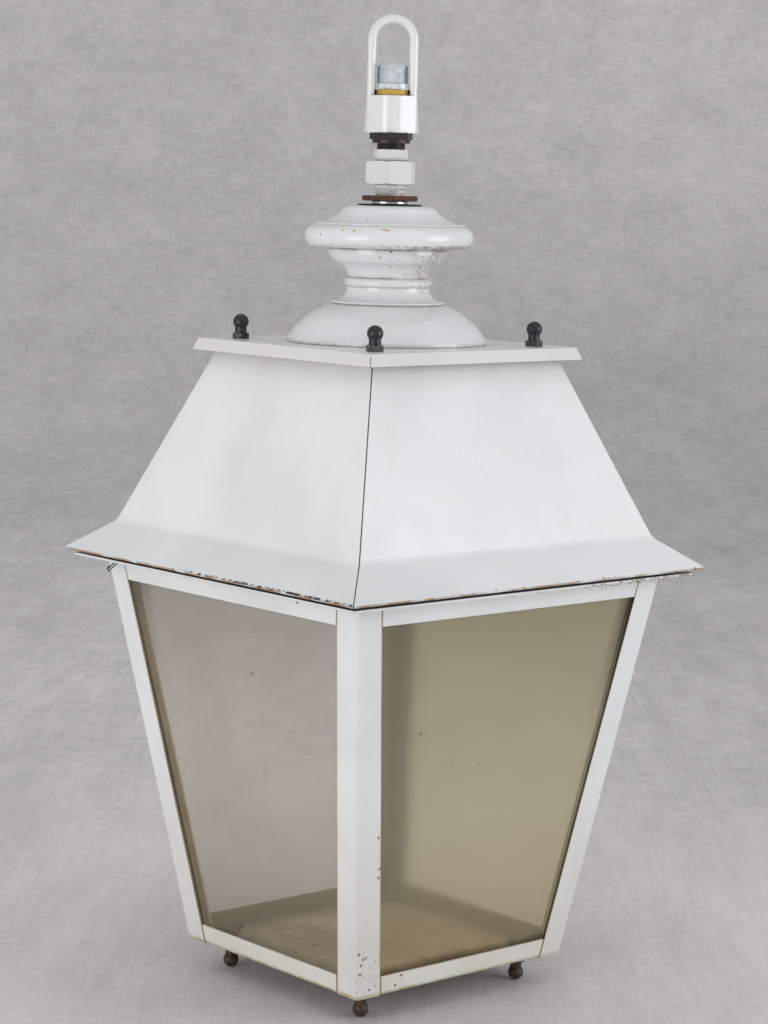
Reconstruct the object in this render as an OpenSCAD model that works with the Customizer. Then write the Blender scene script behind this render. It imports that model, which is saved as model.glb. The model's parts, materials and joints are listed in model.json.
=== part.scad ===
// Four-sided street lantern: a tapered glazed cage of folded sheet on ball feet, a bell-shaped
// hinged roof with a cover plate, a turned cap, and a pipe stack with a hanging stirrup.
// Millimetres. Z is up, the feet stand on z = 0, and the sides of the lantern face X and Y.

/* [Cage] */
// Outer side of the square cage along its lower edge
base_w = 248; // [220:1:280]
// Distance of the cage at the top of its posts in from the edge of the eave
shoulder_inset = 28.5; // [25:0.5:40]
// Height of the cage, from its lower edge to the top of its posts
cage_h = 361; // [280:1:460]
// Width of each leg of a corner post
post_leg = 26.5; // [18:0.5:36]
// Outside radius of the fold of a corner post
post_fold_r = 3.5; // [2:0.5:6]
// Height of the upper rails
top_rail_h = 19; // [12:1:30]
// Height of the lower rails
bottom_rail_h = 18; // [12:1:30]
// Depth of the ledge folded in along each rail
rail_ledge = 15; // [10:1:20]
// Thickness of the cage sheet
cage_t = 1.5; // [1:0.1:2]
// Open seam between a rail and its posts
rail_seam = 0.6; // [0.3:0.1:1.5]
// Width of the flange on top of the cage, measured in from its outer edge
flange_band = 40; // [30:1:50]
// Thickness of the flange
flange_t = 2.5; // [1.5:0.1:4]

/* [Glazing] */
// Thickness of the side panes
pane_t = 3; // [2:0.5:4]
// Distance from the corner line of the cage to the edge of a side pane
pane_inset = 9; // [8:0.5:14]
// Thickness of the bottom pane
bottom_pane_t = 3; // [2:0.5:5]
// Width of each leg of the corner strips that hold the panes
glazing_leg = 21; // [12:1:24]
// Thickness of the corner strips that hold the panes
glazing_t = 1.2; // [0.8:0.1:2]

/* [Feet and ball nuts] */
// Distance of the foot studs in from the lower edges of the cage
foot_inset = 29; // [24:0.5:34]
// Height of the feet below the cage
foot_h = 27; // [25:0.5:40]
// Diameter of the ball of a ball nut
ball_d = 14.4; // [12:0.2:18]
// Diameter of the neck of a ball nut
ball_neck_d = 10.8; // [9:0.2:11.6]
// Width over the corners of the hexagon of a ball nut
ball_hex_d = 16.4; // [14:0.2:20]
// Height of the hexagon of a ball nut
ball_hex_h = 5; // [4:0.2:7]
// Height of a whole ball nut
ball_nut_h = 22.5; // [20:0.5:24]
// Diameter of the threaded studs
stud_d = 6; // [5:0.5:7]
// Length of a stud inside its ball nut
stud_bite = 11.5; // [8:0.5:13]
// Width over the corners of the plain nuts on the foot studs
nut_d = 11.5; // [10.5:0.5:14]
// Length of each leg of the corner plates that carry the feet
corner_plate_leg = 80; // [72:1:90]
// Thickness of the corner plates
corner_plate_t = 2; // [1.5:0.5:4]

/* [Roof] */
// Outer side of the roof at its eave
eave_w = 420; // [410:1:440]
// Distance of the edge of the flange in from the edge of the eave
eave_overhang = 7.5; // [6:0.5:12]
// Width of the flat skirt outside the crease of the roof
skirt_w = 34.75; // [28:0.25:42]
// Outer side of the roof where it meets the cover plate
crown_w = 225.6; // [215:0.2:240]
// Open gap between the flange and the eave
eave_gap = 3; // [2.6:0.1:4]
// Height of the crease above the underside of the eave
crease_rise = 28.5; // [22:0.5:40]
// Height of the crown above the underside of the eave
crown_rise = 184.6; // [150:0.2:240]
// Thickness of the roof sheet
roof_t = 1.2; // [0.8:0.1:1.6]
// Depth of the edge of the eave that is folded back under
hem_w = 15; // [10:1:17]
// Radius of the soft crease
crease_r = 14; // [4:1:24]
// Open seam between two roof sheets at a hip
hip_seam = 0.8; // [0.4:0.1:1.5]
// Width of each half of the strip behind a hip
hip_strip_w = 12; // [8:1:16]
// Thickness of the strip behind a hip
hip_strip_t = 1; // [0.6:0.1:1.5]
// Distance of the stiffening frame in from the edge of the eave
roof_frame_inset = 24; // [22:0.5:30]
// Width of the foot of the stiffening frame
roof_frame_leg = 16; // [10:1:24]
// Thickness of the stiffening frame
roof_frame_t = 2; // [1:0.1:3]
// Depth of the lip folded in along the top of the roof sheets
crown_lip = 17; // [16:0.5:20]
// Thickness of the plate under the crown
crown_plate_t = 2; // [1.5:0.5:4]
// Distance of the cover studs in from the sides of the crown
cover_stud_inset = 17.8; // [14:0.2:22]
// Height of the cover plate above the crown
cover_rise = 15.2; // [12:0.2:20]

/* [Cover plate] */
// Distance of the top edges of the cover plate out from the crown
cover_overhang = 9.8; // [6:0.2:16]
// Distance that each side of the cover plate flares out below its top edge
cover_flare = 4.25; // [3:0.25:8]
// Height of the cover plate
cover_h = 11; // [9:0.5:16]
// Thickness of the cover plate
cover_t = 1.5; // [1:0.1:2]

/* [Cap] */
// Diameter of the foot of the cap
cap_base_d = 182; // [160:1:188]
// Height of the dome of the cap
dome_h = 35.5; // [28:0.5:44]
// Diameter of the top of the dome
dome_top_d = 103; // [96:1:110]
// Diameter of the neck above the dome
cap_neck_d = 75.6; // [70:0.2:79]
// Diameter of the bead on the neck
bead_d = 80.8; // [78.4:0.2:84]
// Diameter of the underside of the roll
roll_under_d = 110; // [102:1:116]
// Diameter of the large roll
roll_d = 153.6; // [142:0.2:170]
// Diameter of the flat top of the cap
cap_top_d = 67; // [58.5:0.5:72]
// Height of the neck between the dome and the bead
cap_neck_h = 15.5; // [12:0.5:22]
// Height of the bead
bead_h = 8; // [6:0.5:10]
// Height of the flare between the bead and the roll
flare_h = 26.5; // [22:0.5:34]
// Height of the roll
roll_h = 19.5; // [16:0.5:24]
// Height of the shoulder above the roll
cap_shoulder_h = 19; // [15:0.5:24]
// Wall of the cap
cap_wall = 4; // [3:0.5:5]

/* [Pipe stack] */
// Outside diameter of the stem pipe
stem_d = 26.6; // [25:0.1:27.2]
// Bore of the stem pipe
stem_bore = 21.6; // [20:0.1:22.4]
// Length of the stem pipe
stem_l = 159; // [150:1:175]
// Length of the stem pipe below the cover plate
stem_below = 21; // [20:0.5:30]
// Diameter of the black washer on the cap
cap_washer_d = 58; // [50:1:58]
// Thickness of the black washer
cap_washer_t = 1.2; // [0.8:0.1:2]
// Diameter of the bright ring
cap_ring_d = 33; // [31:0.5:40]
// Thickness of the bright ring
cap_ring_t = 2.6; // [2:0.1:5]
// Width over the corners of the flat lock nut
lock_nut_d = 50.5; // [44:0.5:56]
// Thickness of the flat lock nut
lock_nut_t = 4.8; // [3:0.1:7]
// Width over the corners of the union nut
union_nut_d = 48.5; // [46:0.1:56]
// Height of the union nut
union_nut_h = 21; // [19:0.5:26]
// Width over the corners of the octagon of the union body
union_oct_d = 31.6; // [30:0.1:34]
// Height of the octagon of the union body
union_oct_h = 10; // [8:0.5:14]
// Diameter of the neck of the bush
bush_neck_d = 25; // [23:0.5:28]
// Height of the neck of the bush
bush_neck_h = 5.7; // [4:0.1:9]
// Diameter of the round step under the hexagon of the bush
bush_step_d = 34.4; // [30:0.2:37]
// Height of the round step of the bush
bush_step_h = 3.2; // [2:0.2:5]
// Width over the corners of the hexagon of the bush
bush_hex_d = 41; // [38:0.5:46]
// Height of the hexagon of the bush
bush_hex_h = 5.8; // [4:0.2:9]
// Outside diameter of the threads that run into the stirrup
thread_d = 19.6; // [18:0.1:20]
// Clearance round every thread, stud and pipe in its hole
thread_gap = 0.3; // [0.2:0.05:0.4]

/* [Stirrup and gland] */
// Height of the stirrup
stirrup_h = 105.8; // [98:0.2:130]
// Width over the two arms of the stirrup
stirrup_w = 45.6; // [44:0.2:50]
// Width of an arm of the stirrup, seen from the front
arm_w = 8; // [6:0.2:9]
// Depth of an arm of the stirrup, from front to back
arm_depth = 14; // [11:0.5:18]
// Height of the socket of the stirrup
socket_h = 33.4; // [28:0.2:38]
// Diameter of the socket of the stirrup
socket_d = 33; // [30:0.5:38]
// Width over the arms where they run down beside the socket
socket_foot_w = 48.8; // [47:0.2:54]
// Angle of the stirrup about the upright axis
stirrup_turn = -41; // [-90:1:90]
// Width over the corners of the brass nut under the gland
brass_nut_d = 33.4; // [30:0.2:35]
// Thickness of the brass nut
brass_nut_t = 5; // [3:0.1:7]
// Width over the corners of the lower hexagon of the gland
gland_flange_d = 27; // [25:0.2:29]
// Height of the lower hexagon of the gland
gland_flange_h = 5.5; // [4:0.1:8]
// Width over the corners of the gland nut
gland_nut_d = 27.2; // [25:0.2:29]
// Height of the gland nut
gland_nut_h = 18.8; // [15:0.2:22]
// Diameter of the cable hole in the gland
cable_d = 9; // [6:0.5:11]

/* [Stem fixing] */
// Diameter of the washer under the crown
stem_washer_d = 44; // [40:1:52]
// Thickness of the washer under the crown
stem_washer_t = 2; // [1:0.5:3]
// Width over the corners of the nut under the crown
stem_nut_d = 42; // [38:1:50]
// Height of the nut under the crown
stem_nut_h = 8; // [6:0.5:10]

/* [Lampholder] */
// Width over the corners of the reducer above the lampholder
reducer_hex_d = 32; // [29:0.5:36]
// Height of the hexagon of the reducer
reducer_hex_h = 9; // [7:0.5:12]
// Length of the reducer inside the stem pipe
reducer_plug_l = 14; // [10:1:20]
// Diameter of the thread on which the lampholder hangs
nipple_d = 10; // [8:0.5:13]
// Length of the thread inside the lampholder
nipple_bite = 8; // [6:0.5:10]
// Outside diameter of the lampholder
holder_d = 46; // [40:1:52]
// Length of the lampholder
holder_l = 62; // [54:1:70]
// Diameter of the thread sleeve for the lamp
sleeve_d = 27.5; // [27:0.1:28]
// Depth of the thread sleeve for the lamp
sleeve_l = 34; // [26:1:38]

/* [Hinge and tie] */
// Length of a hinge
hinge_l = 42; // [30:1:60]
// Distance of each hinge from the middle of the side
hinge_at = 110; // [60:1:140]
// Outside diameter of the hinge barrel
barrel_d = 4.8; // [4.4:0.1:5]
// Diameter of the hinge pin
pin_d = 2.4; // [2:0.1:2.6]
// Length of each hinge leaf, from the barrel in
hinge_leaf = 15; // [10:1:16]
// Thickness of the hinge leaves
hinge_t = 1.2; // [0.8:0.1:1.3]
// Diameter of the tie wire
wire_d = 1.2; // [0.8:0.1:1.4]
// Distance between the two legs of the tie wire
wire_gauge = 4.5; // [3:0.1:8]
// Length of the hanging loop of the tie wire
wire_loop_l = 13; // [8:1:20]
// Distance of the tie wire in from the edge of the flange
wire_inset = 10.5; // [9:0.5:12]
// Distance of the tie wire from the corner of the flange, along its side
wire_corner = 51.5; // [40:0.5:100]

/* [Hidden] */
$fn = 48;

// Clearance between pieces that rest on or against each other
seat = 0.3;
// Number of steps in a drawn fold or moulding
fold_steps = 6;

// Outer side of the cage at the top of its posts
shoulder_w = eave_w - 2 * shoulder_inset;
// Lean of the sides and of the corner lines of the cage
spread = (shoulder_w - base_w) / 2;
face_lean = atan(spread / cage_h);
corner_lean = atan(sqrt(2) * spread / cage_h);
// Half of the angle between the legs of a corner post, and the lean of its edge in the side
fold_half = atan(1 / cos(corner_lean));
edge_lean = atan(sin(face_lean));
slant = cage_h / cos(face_lean);

// Heights of the main levels
cage_z = foot_h;
flange_z = cage_z + cage_h;
eave_z = flange_z + flange_t + eave_gap;
crease_z = eave_z + crease_rise;
crown_z = eave_z + crown_rise;
cover_z = crown_z + cover_rise;

// Heights of the mouldings of the cap, above the cover plate
bead_z = dome_h + cap_neck_h;
flare_z = bead_z + bead_h;
roll_z = flare_z + flare_h;
cap_shoulder_z = roll_z + roll_h;
cap_h = cap_shoulder_z + cap_shoulder_h;
cap_top_z = cover_z + cap_h;

// Widths that follow from the eave, the crown and the lower edge
flange_w = eave_w - 2 * eave_overhang;
wire_x = flange_w / 2 - wire_inset;
wire_y = flange_w / 2 - wire_corner;
crease_w = eave_w - 2 * skirt_w;
roof_frame_w = eave_w - 2 * roof_frame_inset;
cover_top_w = crown_w + 2 * cover_overhang;
cover_edge_w = cover_top_w + 2 * cover_flare;
foot_at = base_w / 2 - foot_inset;
cover_stud_at = crown_w / 2 - cover_stud_inset;

// Depth to which the two layers of the folded hem are drawn into one
hem_bond = 0.1;
// Points of the roof section, as distance from the middle and height
skirt_slope = atan((crease_rise - 2 * roof_t) / skirt_w);
eave_tip = [eave_w / 2, eave_z + 2 * roof_t * cos(skirt_slope)];
crease_point = [crease_w / 2, crease_z];
roof_run = (crease_w - crown_w) / 2 / (crown_z - crease_z);
lip_z = cover_z - cover_t - seat / 2;
lip_point = [crown_w / 2 - (lip_z - crown_z) * roof_run, lip_z];
roof_path = [eave_tip, crease_point, lip_point, lip_point - [crown_lip, 0]];

// Heights in the crown
crown_plate_z = lip_z - roof_t - seat / 2 - crown_plate_t;
stem_z = cover_z - stem_below;

// Heights in the pipe stack, from the cap up
washer_z = cap_top_z + seat / 2;
ring_z = washer_z + cap_washer_t + seat / 2;
lock_z = ring_z + cap_ring_t + seat / 2;
stem_top_z = stem_z + stem_l;
tail_z = stem_top_z + seat / 2;
tail_collar_h = 4.8;
tail_shoulder_z = tail_z + tail_collar_h + 4.2;
tail_shoulder_h = 3.8;
union_z = tail_z + tail_collar_h + seat;
union_inner_d = 35.4;
union_lip_d = 31.2;
oct_z = union_z + union_nut_h + seat;
neck_z = oct_z + union_oct_h;
bush_z = neck_z + bush_neck_h;
stirrup_z = bush_z + bush_step_h + bush_hex_h + seat / 2;
socket_top_z = stirrup_z + socket_h;
brass_z = socket_top_z + seat / 2;
gland_z = brass_z + brass_nut_t + seat / 2;
gland_nut_z = gland_z + gland_flange_h + seat / 2;
bush_bore = 13;
// Level at which the socket of the union body starts, above the foot of its octagon
union_socket_z = 2;

// Direction in which the small flats of the stack are turned
front_turn = -131;

// Place of the hinge axis beside the flange
barrel_gap = 1.1;
hinge_rise = 1.5;
hinge_x = flange_w / 2 + barrel_gap + barrel_d / 2;
hinge_z = flange_z + flange_t + hinge_rise;
pin_gap = 0.1;
knuckle_gap = 0.4;

// Half of the outer side of the cage at a height above its lower edge
function half_at(z) = base_w / 2 + spread * z / cage_h;
// Half of the width of a side at a distance up its slope
function side_half(v) = base_w / 2 + v * sin(face_lean);

function unit(v) = v / norm(v);
function left_of(v) = [-v[1], v[0]];
function turned(v, a) = [v[0] * cos(a) - v[1] * sin(a), v[0] * sin(a) + v[1] * cos(a)];
function flipped(p) = [for (i = [len(p) - 1 : -1 : 0]) p[i]];

// Points of one fold of a sheet, on the line that runs d to the left of the path a, b, c
function fold_points(a, b, c, d, r) =
    let (u = unit(b - a), w = unit(c - b))
    let (turn = atan2(u[0] * w[1] - u[1] * w[0], u * w))
    let (s = sign(turn))
    let (centre = b + s * r * (left_of(u) + left_of(w)) / (1 + u * w))
    [for (k = [0 : fold_steps])
        centre - s * (r - s * d) * turned(left_of(u), turn * k / fold_steps)];

// Line that runs d to the left of a path, with a fold of radius r[i] at each inner point
function sheet_line(p, d, r) = concat(
    [p[0] + d * left_of(unit(p[1] - p[0]))],
    [for (i = [1 : len(p) - 2]) each fold_points(p[i - 1], p[i], p[i + 1], d, r[i - 1])],
    [p[len(p) - 1] + d * left_of(unit(p[len(p) - 1] - p[len(p) - 2]))]
);

// Section of a folded sheet of thickness t that lies from d to d + t left of the path
module sheet_section(p, r, t, d = 0) {
    polygon(concat(sheet_line(p, d, r), flipped(sheet_line(p, d + t, r))));
}

// Arc of n steps from a to b that bulges by sag to the left of the way from a to b
function arc_points(a, b, sag, n) =
    let (chord = norm(b - a))
    let (r = (chord * chord / 4 + sag * sag) / (2 * abs(sag)))
    let (s = sign(sag))
    let (half = asin(min(1, chord / 2 / r)))
    let (centre = (a + b) / 2 + left_of(unit(b - a)) * (sag - s * r))
    [for (k = [0 : n])
        centre + s * r * turned(left_of(unit(b - a)), s * half * (1 - 2 * k / n))];

// Places children on side k, drawn flat with x along the side and y up its slope
module on_side(k) {
    rotate([0, 0, 90 * k])
        translate([0, -base_w / 2, cage_z])
            rotate([90 + face_lean, 0, 0])
                children();
}

// Outline on a side between two heights up the slope, set in from the corner lines
module side_outline(v0, v1, inset) {
    x0 = side_half(v0) - inset / cos(edge_lean);
    x1 = side_half(v1) - inset / cos(edge_lean);
    polygon([[-x0, v0], [x0, v0], [x1, v1], [-x1, v1]]);
}

// Bar of a section (distance in from the lower edge, height) along side k, cut beside the posts
module side_bar(k) {
    deep = 60;
    intersection() {
        rotate([0, 0, 90 * k])
            translate([0, -base_w / 2, cage_z])
                rotate([90, 0, 90])
                    linear_extrude(2 * shoulder_w, center = true)
                        children();
        on_side(k)
            translate([0, 0, -deep])
                linear_extrude(2 * deep)
                    side_outline(-deep, slant + deep, post_leg + rail_seam);
    }
}

// Places a section drawn across the corner line of corner k, cut level at two heights
module corner_bar(k, z0, z1) {
    reach = shoulder_w;
    intersection() {
        rotate([0, 0, 45 + 90 * k])
            translate([-base_w / 2 * sqrt(2), 0, cage_z])
                rotate([0, -corner_lean, 0])
                    translate([0, 0, -post_leg])
                        linear_extrude(slant + 4 * post_leg)
                            children();
        translate([-reach, -reach, z0])
            cube([2 * reach, 2 * reach, z1 - z0]);
    }
}

// Section of an angle strip whose outer faces lie depth inside the two sides of a corner
module angle_section(leg, t, depth, r) {
    apex = [depth / sin(fold_half), 0];
    arm = leg * [cos(fold_half), sin(fold_half)];
    sheet_section([apex + arm, apex, apex + [arm[0], -arm[1]]], [r], t);
}

module corner_post(k) {
    color("whitesmoke")
        corner_bar(k, cage_z, cage_z + cage_h)
            angle_section(post_leg, cage_t, 0, post_fold_r);
}

module top_rail(k) {
    top = [-spread, cage_h];
    foot = [-spread * (cage_h - top_rail_h) / cage_h, cage_h - top_rail_h];
    color("whitesmoke")
        side_bar(k)
            sheet_section([top + [rail_ledge + cage_t, 0], top, foot], [2 * cage_t], cage_t);
}

module bottom_rail(k) {
    head = [-spread * bottom_rail_h / cage_h, bottom_rail_h];
    color("whitesmoke")
        side_bar(k)
            sheet_section([head, [0, 0], [rail_ledge + cage_t, 0]], [2 * cage_t], cage_t);
}

// Depth of the outer and inner faces of a side pane behind the outer face of its side
pane_out = cage_t + seat / 2;
pane_in = pane_out + pane_t;
// Level of the top of the corner plates, above the lower edge of the cage
plate_top = cage_t + corner_plate_t;
// Room between the cut corners of the bottom pane and the nuts of the feet
nut_room = 2.7;

module side_pane(k) {
    v0 = plate_top / cos(face_lean);
    v1 = (cage_h - 2 * cage_t - seat - pane_in * sin(face_lean)) / cos(face_lean);
    color("gainsboro", 0.5)
        on_side(k)
            translate([0, 0, -pane_in])
                linear_extrude(pane_t)
                    side_outline(v0, v1, pane_inset);
}

module bottom_pane() {
    half = half_at(plate_top) - (pane_in + seat) / cos(face_lean) - seat;
    // The corners are cut off to clear the nuts of the feet
    cut = foot_at * 2 - (nut_d / 2 + nut_room) * sqrt(2);
    color("tan", 0.6)
        translate([0, 0, cage_z + plate_top + seat / 2])
            linear_extrude(bottom_pane_t)
                polygon([for (q = [0 : 3]) each [
                    turned([half - cut, half], 90 * q), turned([-half, cut - half], 90 * q)]]);
}

module glazing_strips() {
    depth = pane_in + seat / 2;
    color("wheat")
        for (k = [0 : 3])
            corner_bar(k, cage_z + plate_top + seat, cage_z + cage_h - seat)
                angle_section(glazing_leg, glazing_t, depth, 2 * glazing_t);
}

module corner_plates() {
    half = half_at(cage_t) - 2 * cage_t / cos(face_lean) - seat;
    inner = half - corner_plate_leg;
    trim = 2 * post_fold_r;
    color("saddlebrown")
        for (k = [0 : 3])
            rotate([0, 0, 90 * k])
                translate([0, 0, cage_z + cage_t])
                    linear_extrude(corner_plate_t)
                        difference() {
                            polygon([[-half, -inner], [-half, -half + trim], [-half + trim, -half],
                                [-inner, -half]]);
                            translate([-foot_at, -foot_at])
                                circle(d = stud_d + 2 * thread_gap);
                        }
}

module top_flange() {
    color("whitesmoke")
        translate([0, 0, flange_z])
            linear_extrude(flange_t)
                difference() {
                    square(flange_w, center = true);
                    square(flange_w - 2 * flange_band, center = true);
                    for (s = [-0.5, 0.5])
                        translate([-wire_x, wire_y + s * wire_gauge])
                            circle(d = wire_d + 2 * thread_gap);
                }
}

// Repeats children at the four corners of a square, at a distance along X and Y
module at_corners(at) {
    for (x = [-1, 1], y = [-1, 1])
        translate([x * at, y * at, 0])
            children();
}

// Prism with flat sides, whose corners are turned down by cones that meet its corner lines at
// half the width of the chamfer, or at the depth given for the top
module flat_prism(d, h, sides, chamfer, turn, top = undef) {
    cone = is_undef(top) ? [chamfer, chamfer / 2] : top;
    intersection() {
        rotate([0, 0, turn])
            cylinder(h = h, d = d, $fn = sides);
        rotate_extrude()
            polygon([[0, 0], [d / 2 - chamfer, 0], [d / 2 + chamfer, chamfer],
                [d / 2 + cone[0], h - 2 * cone[1]], [d / 2 - cone[0], h], [0, h]]);
    }
}

// Ball nut that stands on its hexagon, with a blind threaded hole from below
module ball_nut() {
    ball_z = ball_nut_h - ball_d / 2;
    difference() {
        union() {
            flat_prism(ball_hex_d, ball_hex_h, 6, 0.8, 0);
            cylinder(h = ball_z, d = ball_neck_d);
            translate([0, 0, ball_z])
                sphere(d = ball_d);
        }
        translate([0, 0, -1])
            cylinder(h = ball_z + 1, d = stud_d + 2 * thread_gap);
    }
}

// Plain nut of a stud, with its lower face on z = 0
nut_h = 5.2;
module plain_nut() {
    difference() {
        flat_prism(nut_d, nut_h, 6, 0.6, 30);
        translate([0, 0, -1])
            cylinder(h = nut_h + 2, d = stud_d + 2 * thread_gap);
    }
}

module ball_feet() {
    color("#3b302a")
        at_corners(foot_at)
            translate([0, 0, ball_nut_h])
                mirror([0, 0, 1])
                    ball_nut();
}

module foot_studs() {
    bottom = ball_nut_h - stud_bite;
    color("dimgray")
        at_corners(foot_at)
            translate([0, 0, bottom])
                cylinder(h = cage_z + plate_top + nut_h + stud_d / 2 - bottom, d = stud_d);
}

module foot_nuts() {
    color("dimgray")
        at_corners(foot_at) {
            translate([0, 0, cage_z + cage_t - seat / 2 - nut_h])
                plain_nut();
            translate([0, 0, cage_z + plate_top + seat / 2])
                plain_nut();
        }
}

// Places children at the two hinges, with x along the hinge axis from its middle
module at_hinges() {
    for (s = [-1, 1])
        translate([hinge_x, s * hinge_at, hinge_z])
            rotate([0, 0, 90])
                children();
}

knuckle_l = hinge_l / 3;
// Depth of the notch in a leaf beside a knuckle of the other leaf
notch = barrel_d / 2 + 1.8;

// Barrel knuckle of a hinge, centred at a place along the axis
module knuckle(at) {
    translate([at, 0, 0])
        rotate([0, 90, 0])
            cylinder(h = knuckle_l - knuckle_gap, d = barrel_d, center = true);
}

// Strip as long as the hinge, of a section (distance in from the axis, height above it)
module hinge_strip() {
    rotate([90, 0, 90])
        linear_extrude(hinge_l, center = true)
            children();
}

// Room for a knuckle of the other leaf, centred at a place along the axis
module knuckle_room(at) {
    translate([at - knuckle_l / 2 - knuckle_gap / 2, -barrel_d, -barrel_d])
        cube([knuckle_l + knuckle_gap, barrel_d + notch, 4 * barrel_d]);
}

module hinge_bore() {
    rotate([0, 90, 0])
        cylinder(h = hinge_l + 2, d = pin_d + 2 * pin_gap, center = true);
}

module hinge_lower_leaves() {
    low = flange_z + flange_t - hinge_z;
    color("dimgray")
        at_hinges()
            difference() {
                union() {
                    for (s = [-1, 1])
                        knuckle(s * knuckle_l);
                    difference() {
                        hinge_strip()
                            polygon([[0, low], [hinge_leaf, low], [hinge_leaf, low + hinge_t],
                                [0, low + hinge_t]]);
                        knuckle_room(0);
                    }
                }
                hinge_bore();
            }
}

module hinge_pins() {
    color("silver")
        at_hinges()
            rotate([0, 90, 0])
                cylinder(h = hinge_l, d = pin_d, center = true);
}

module hinge_upper_leaves() {
    // The leaf lies under the folded hem of the eave and bends down to the barrel
    rise = tan(skirt_slope);
    under = (eave_tip[0] - hinge_x) * rise + eave_tip[1] - 2 * roof_t / cos(skirt_slope) - hinge_z;
    thick = hinge_t / cos(skirt_slope);
    web = 0.8;
    color("dimgray")
        at_hinges()
            difference() {
                union() {
                    knuckle(0);
                    difference() {
                        hinge_strip()
                            polygon([[-web, 0], [-web, under - web * rise],
                                [hinge_leaf, under + hinge_leaf * rise],
                                [hinge_leaf, under + hinge_leaf * rise - thick],
                                [web, under + web * rise - thick], [web, 0]]);
                        for (s = [-1, 1])
                            knuckle_room(s * knuckle_l);
                    }
                }
                hinge_bore();
            }
}

// Slope of the hanging loop of the tie wire
wire_slope = 32;
module tie_wire() {
    gauge = wire_gauge / 2;
    drop = 2.2;
    color("dimgray")
        translate([-wire_x, wire_y, flange_z]) {
            // Bridge on top of the flange and the two legs down through it
            translate([0, 0, flange_t + wire_d / 2 + seat / 3])
                rotate([90, 0, 0])
                    cylinder(h = wire_gauge, d = wire_d, center = true);
            for (s = [-1, 1]) {
                translate([0, s * gauge, -drop])
                    cylinder(h = drop + flange_t + wire_d / 2 + seat / 3, d = wire_d);
                translate([0, s * gauge, flange_t + wire_d / 2 + seat / 3])
                    sphere(d = wire_d);
                translate([0, s * gauge, -drop])
                    sphere(d = wire_d);
            }
            // Hanging loop, which leans along the side of the cage
            translate([0, 0, -drop])
                for (s = [-1, 1])
                    translate([0, s * gauge, 0])
                        rotate([-90 - wire_slope, 0, 0])
                            cylinder(h = wire_loop_l, d = wire_d);
            translate([0, 0, -drop])
                rotate([-wire_slope, 0, 0])
                    translate([0, wire_loop_l, 0])
                        rotate([0, 90, 0])
                            rotate_extrude(angle = 180)
                                translate([gauge, 0])
                                    circle(d = wire_d, $fn = 16);
        }
}

// Wedge of one roof side between its two hips, drawn back by half a seam
module roof_wedge(k, seam) {
    far = eave_w;
    back = seam / 2 * sqrt(2);
    rotate([0, 0, 90 * k])
        linear_extrude(2 * cap_top_z)
            polygon([[0, -back], [far, -far - back], [-far, -far - back]]);
}

// Bar of a roof section (distance from the middle, height) along side k
module roof_bar(k) {
    rotate([0, 0, 90 * k])
        rotate([90, 0, -90])
            linear_extrude(1.2 * eave_w, center = true)
                children();
}

module roof_section() {
    sheet_section(roof_path, [crease_r, 2 * roof_t], roof_t);
    // Hem folded back flat under the eave
    sheet_section([eave_tip, eave_tip + hem_w * unit(crease_point - eave_tip)], [],
        roof_t + hem_bond, roof_t - hem_bond);
}

module roof_panel(k) {
    color("whitesmoke")
        difference() {
            intersection() {
                roof_bar(k)
                    roof_section();
                roof_wedge(k, hip_seam);
            }
            at_corners(cover_stud_at)
                translate([0, 0, crown_z])
                    cylinder(h = cover_z - crown_z, d = stud_d + 2 * thread_gap);
        }
}

// Folded strip behind the hip of corner k, from above the stiffening frame to the crown
module hip_strip(k) {
    low = roof_frame_top + 3;
    reach = eave_w;
    color("gray")
        intersection() {
            union() {
                for (side = [k, k + 3])
                    intersection() {
                        roof_bar(side)
                            sheet_section(roof_path, [crease_r, 2 * roof_t], hip_strip_t,
                                roof_t);
                        roof_wedge(side, 0);
                    }
            }
            rotate([0, 0, 45 + 90 * k])
                translate([-reach, -hip_strip_w, low])
                    cube([reach, 2 * hip_strip_w, crown_plate_z - seat - low]);
        }
}

// Height of the underside of the skirt above the stiffening frame
roof_frame_top = eave_tip[1] + (eave_tip[0] - roof_frame_w / 2) * tan(skirt_slope)
    - roof_t / cos(skirt_slope) - seat;
module roof_frame() {
    outer = roof_frame_w / 2;
    foot = flange_z + flange_t + seat;
    t = roof_frame_t;
    color("gray")
        for (k = [0 : 3])
            intersection() {
                roof_bar(k)
                    polygon([[outer, foot], [outer, roof_frame_top],
                        [outer - t, roof_frame_top + t * tan(skirt_slope)],
                        [outer - t, foot + t], [outer - roof_frame_leg, foot + t],
                        [outer - roof_frame_leg, foot]]);
                roof_wedge(k, 0);
            }
}

module crown_plate() {
    half = crown_w / 2 - (crown_plate_z + crown_plate_t - crown_z) * roof_run
        - roof_t / cos(atan(roof_run)) - 2 * seat;
    color("gray")
        difference() {
            translate([-half, -half, crown_plate_z])
                cube([2 * half, 2 * half, crown_plate_t]);
            at_corners(cover_stud_at)
                translate([0, 0, crown_plate_z - 1])
                    cylinder(h = crown_plate_t + 2, d = stud_d + 2 * thread_gap);
            translate([0, 0, crown_plate_z - 1])
                cylinder(h = crown_plate_t + 2, d = stem_d + 2 * thread_gap);
        }
}

// Square frustum with its lower and upper half sides, as the common part of two crossed bars
module frustum(low, high, h) {
    intersection() {
        rotate([90, 0, 0])
            linear_extrude(3 * low, center = true)
                polygon([[-low, 0], [low, 0], [high, h], [-high, h]]);
        rotate([90, 0, 90])
            linear_extrude(3 * low, center = true)
                polygon([[-low, 0], [low, 0], [high, h], [-high, h]]);
    }
}

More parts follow.
